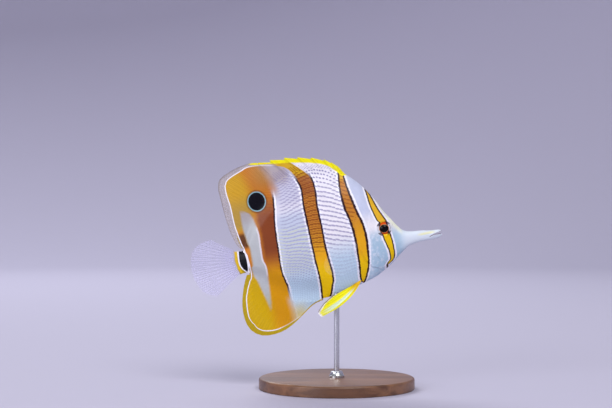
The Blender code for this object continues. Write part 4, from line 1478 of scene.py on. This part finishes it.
# %% [markdown]
# ## The coat
#
# The coat's pieces are joined meshes of many scales, because thousands of objects would be slow. Every
# corner remembers how far across and along its own scale it lies, and each scale keeps a tone of its
# own, as no two reflect alike. The map for baking gives each scale a small patch at its root's place on
# the unrolled flank.

# %% Coat meshes
UV_PER_MM = 0.0041
UV_SHRINK = 0.98
UV_LEFT_AT = 0.26
UV_RIGHT_AT = 0.74
UV_CENTRE_X = 8.0
FIN_OVERLAP = 1.1
PATCH = 0.0014


def coat_points(base, rearward, side, size, on_body, draw):
    """Places of every corner of every scale on the left side. On the body they follow the flank, and
    reach a little over the roots of the fins, so that no seam shows there."""
    turn = draw.normal(0, 0.035, len(base))[:, None]
    rearward, side = rearward + side * turn, side - rearward * turn
    size = (size * draw.uniform(0.95, 1.05, len(size)))[:, None, None]
    along, across, height = TEMPLATE.T
    flat = base[:, None] + size * (along[:, None] * rearward[:, None] + across[:, None] * side[:, None])
    outward = unit(np.cross(side, rearward))
    outward *= np.where(outward[:, 1:2] < 0, -1, 1)
    if on_body:
        x = flat[..., 0]
        above, below = (FIN_OVERLAP * (smooth_step(x, -40.8, -39.8) - smooth_step(x, end, end + 2.0))
                        for end in (15.0, -9.0))
        flat[..., 2] = np.clip(flat[..., 2], belly_z(x) + 0.05 - below, back_z(x) - 0.05 + above)
        flat[..., 1] = side_y(x, flat[..., 2])
    return flat + size * height[:, None] * outward[:, None]


def coat_mesh(name, points, base, side, draw):
    """One joined mesh of scales, with their marks and the map for baking."""
    count, corners = points.shape[:2]
    faces = (SCALE_FACES[None] + (np.arange(count) * corners)[:, None, None]).reshape(-1, 4)
    if side < 0:
        points = points * (1, -1, 1)
        faces = faces[:, ::-1]
    mesh = bpy.data.meshes.new(name)
    mesh.from_pydata(points.reshape(-1, 3), [], faces)
    marks = {"across": np.tile(ACROSS_MARK, count), "along": np.tile(ALONG_MARK, count),
             "tone": np.repeat(draw.uniform(0, 1, count), corners)}
    for mark, values in marks.items():
        mesh.attributes.new(mark, "FLOAT", "POINT").data.foreach_set("value", values.astype(np.float32))
    u, v = unwrapped(base[:, 0], base[:, 2])
    u = (UV_LEFT_AT if side > 0 else UV_RIGHT_AT) + (u - UV_CENTRE_X) * UV_PER_MM * UV_SHRINK
    middle = np.stack([u, 0.5 + v * UV_PER_MM], axis=1)
    spot = np.stack([ALONG_MARK - 0.5, ACROSS_MARK * 0.5], axis=1) * 2 * PATCH
    flat = (middle[:, None] + spot[None]).reshape(-1, 2)[faces.ravel()]
    mesh.uv_layers.new(name="OFBake").data.foreach_set("uv", flat.astype(np.float32).ravel())
    return mesh


# %% [markdown]
# The scales wear the fish's pattern and add their own. Between the bars each carries a lilac dash, or a
# round bead high on the back, and these join up into the pearl rows. The bars have the same rows in
# brown, and low on the flank the scales' edges make a blue net.

# %% Coat finish
def coat_finish():
    finish = Finish("scales")
    place, x, z = level_fish(finish)
    colour, _, within = painted(finish, place, x, z)
    across, along, tone = (finish.mark(name) for name in ("across", "along", "tone"))
    free, deep_in = within.step(0.4, -0.4), within.step(0.8, 1.1)
    before_cover = z.curve(COVER_EDGE) - x
    trunk = (z.curve(BAR_2[1]) - x).step(-0.6, 0.2) * before_cover.step(-0.6, 0.2)
    back_half = x.step(-3.0, -8.0)
    beads = z.step(27.0, 32.0) * (1.0 - back_half) * free
    dash = (across / 0.34).beside((along - 0.68) / 0.4).step(1.1, 0.6)
    bead = (across / 0.38).beside((along - 0.7) / 0.2).step(1.1, 0.6)
    upper = (z + 7.0 * back_half).step(-9.0, -1.0)
    line = (dash * (1.0 - beads) + bead * beads) * trunk * upper * x.step(-40.0, -37.0)
    between_rows = across.size().step(0.5, 0.7) * back_half * (z + 3.0).near(10.0, 5.0) * free
    clear_strip = (x - z.curve(BAR_4_FRONT)).size().step(1.6, 4.2)
    strength = 0.66 + 0.2 * beads - back_half * (0.12 + 0.14 * z.step(20.0, 10.0))
    speck = bead * (1.0 - upper) * trunk * free * z.step(-24.0, -17.0) * (0.25 + 0.3 * back_half)
    net = 0.7 * across.size().step(0.5, 0.85).larger(along.step(0.72, 0.9))
    net = net * z.step(-3.0, -12.0) * free * trunk
    third = (x + 2.5).near(6.0, 5.0)
    in_bar = 0.25 + 0.5 * third + 0.3 * x.step(6.0, 10.0) * before_cover.step(0.6, 1.4)
    twin = across.size().step(0.5, 0.72) * trunk * third * deep_in * z.step(-6.0, 0.0) * z.step(35.0, 30.0)
    colour = finish.over(
        colour,
        (between_rows * 0.65, OLIVE_WHITE),
        (line * free * strength * clear_strip, LAVENDER),
        (speck * clear_strip, LAVENDER),
        (net * (0.25 + 0.2 * back_half), NET_BLUE),
        ((line * deep_in * in_bar * x.step(-28.0, -23.0)).larger(twin * 0.6), ROW_BROWN))
    # Painted shade along each scale's rear edge, where it lies over the next.
    colour = finish.shade(colour, along.step(0.9, 1.0) * 0.12, 0.7)
    colour = finish.shade(colour, tone * 0.14, 0.72)
    ridges = (across * 5.0 + along * 0.4).wave() * along.step(0.5, 0.8)
    return finish.surface(
        gloss=0.12, Base_Color=colour, Roughness=0.3 + tone * 0.12, Coat_Weight=0.12, Coat_Roughness=0.22,
        Normal=finish.bumped(ridges, 0.00001))


# %% [markdown]
# Trunk, head and fins have a piece each on each side. Both sides draw from a seeded generator, so the
# small differences between scales are the same on every run.

# %% Coat in place
COAT_SEED = 31
HEAD_COAT_FROM_X = 14.0
SCALED_FINS = (
    (soft, 0.62, RAY_COLUMNS // 2), (anal, 0.62, RAY_COLUMNS // 2), (spiny, 0.4, SPINE_COLUMNS // 5),
)
scale_finish = coat_finish()
body = body_frames(trunk_roots)
ahead = body[0][:, 0] > HEAD_COAT_FROM_X
for side, word in ((1, "left"), (-1, "right")):
    draw = np.random.default_rng(COAT_SEED + side)
    fins = [fin_frames(*fin, side) for fin in SCALED_FINS]
    parts = {"head": [part[ahead] for part in body], "trunk": [part[~ahead] for part in body],
             "fin": [np.concatenate(part) for part in zip(*fins)]}
    for part_name, frames in parts.items():
        points = coat_points(*frames, part_name != "fin", draw)
        mesh = coat_mesh(f"{part_name}_{word}", points, frames[0], side, draw)
        finished(f"{part_name}_scales_{word}", mesh, scale_finish, sharp=50)

# %% [markdown]
# ## Floor
#
# A round cove whose floor bends up to a low wall gives a ground with no corner from any side, as in a
# museum's photographs. It is spun as the stand is, from a profile that stays open.

# %% Floor
COVE_RADIUS = 2.2
COVE_HEIGHT = 1.1
COVE_BEND = 0.7


def floor_mesh():
    """A flat disc that bends up to a low wall, all round, with its faces towards the fish."""
    turns = np.linspace(0, math.pi / 2, 20)
    level = COVE_RADIUS - COVE_BEND
    bend = [(level + COVE_BEND * math.sin(a), COVE_BEND * (1 - math.cos(a))) for a in turns]
    bm = spun([(0.0, 0.0), *bend, (COVE_RADIUS, COVE_HEIGHT)], 96, closed=False)
    bmesh.ops.reverse_faces(bm, faces=bm.faces)
    mesh = as_mesh("floor", bm)
    mesh.shade_smooth()
    return mesh


def floor_finish():
    finish = Finish("paper")
    tooth = finish.noise(finish.own_place(), 900.0, 3.0)
    return finish.surface(Base_Color=srgb(182, 178, 198), Roughness=0.9,
                          Normal=finish.bumped(tooth, 0.00005))


floor = in_scene("floor", floor_mesh())
floor.data.materials.append(floor_finish())

# %% [markdown]
# ## Light and camera
#
# A large soft light above and ahead shows the relief of the scales, and a weaker one from the tail's
# side fills the shade. A third from behind glows through the clear fins. They stand well back, so the
# floor is lit evenly. The long lens stands far off at the fish's own height, so its side view is drawn
# with hardly any perspective.

# %% Light and camera
LIGHTS = (
    ("key", (0.5, -1.2, 1.5), 0.08, (1.0, 1.0), 22.0, (1.0, 0.99, 0.96)),
    ("fill", (-1.25, -1.2, 0.6), 0.08, (1.0, 0.9), 13.5, (0.98, 0.99, 1.0)),
    ("back", (-0.5, 1.3, 1.3), 0.09, (1.0, 0.8), 20.0, (0.96, 0.98, 1.0)),
)
ROOM_COLOUR = (0.72, 0.74, 0.84, 1.0)
ROOM_STRENGTH = 0.42
CAMERA_AT = (-0.01656, -0.780, 0.09944)
LENS_LENGTH = 85.0
SENSOR_WIDTH = 36.0


def area_light(name, place, aim_height, size, power, colour):
    """A rectangular light, turned to a point at a height on the stand's axis."""
    lamp = bpy.data.lights.new(name, "AREA")
    lamp.shape, lamp.size, lamp.size_y = "RECTANGLE", *size
    lamp.energy, lamp.color = power, colour
    made = in_scene(name, lamp)
    made.location = place
    made.rotation_euler = (Vector((0, 0, aim_height)) - Vector(place)).to_track_quat("-Z", "Y").to_euler()


bpy.context.scene.view_settings.view_transform = "Standard"
world = bpy.data.worlds.new("room")
world.use_nodes = True
room = world.node_tree.nodes["Background"].inputs
room["Color"].default_value, room["Strength"].default_value = ROOM_COLOUR, ROOM_STRENGTH
bpy.context.scene.world = world
for light in LIGHTS:
    area_light(*light)

lens = bpy.data.cameras.new("camera")
lens.lens, lens.sensor_width = LENS_LENGTH, SENSOR_WIDTH
camera = in_scene("camera", lens)
camera.location = CAMERA_AT
camera.rotation_euler = (math.radians(90), 0, 0)
bpy.context.scene.camera = camera
print(len(LIGHTS), "lights; the camera stands", round(-CAMERA_AT[1], 2), "m away")
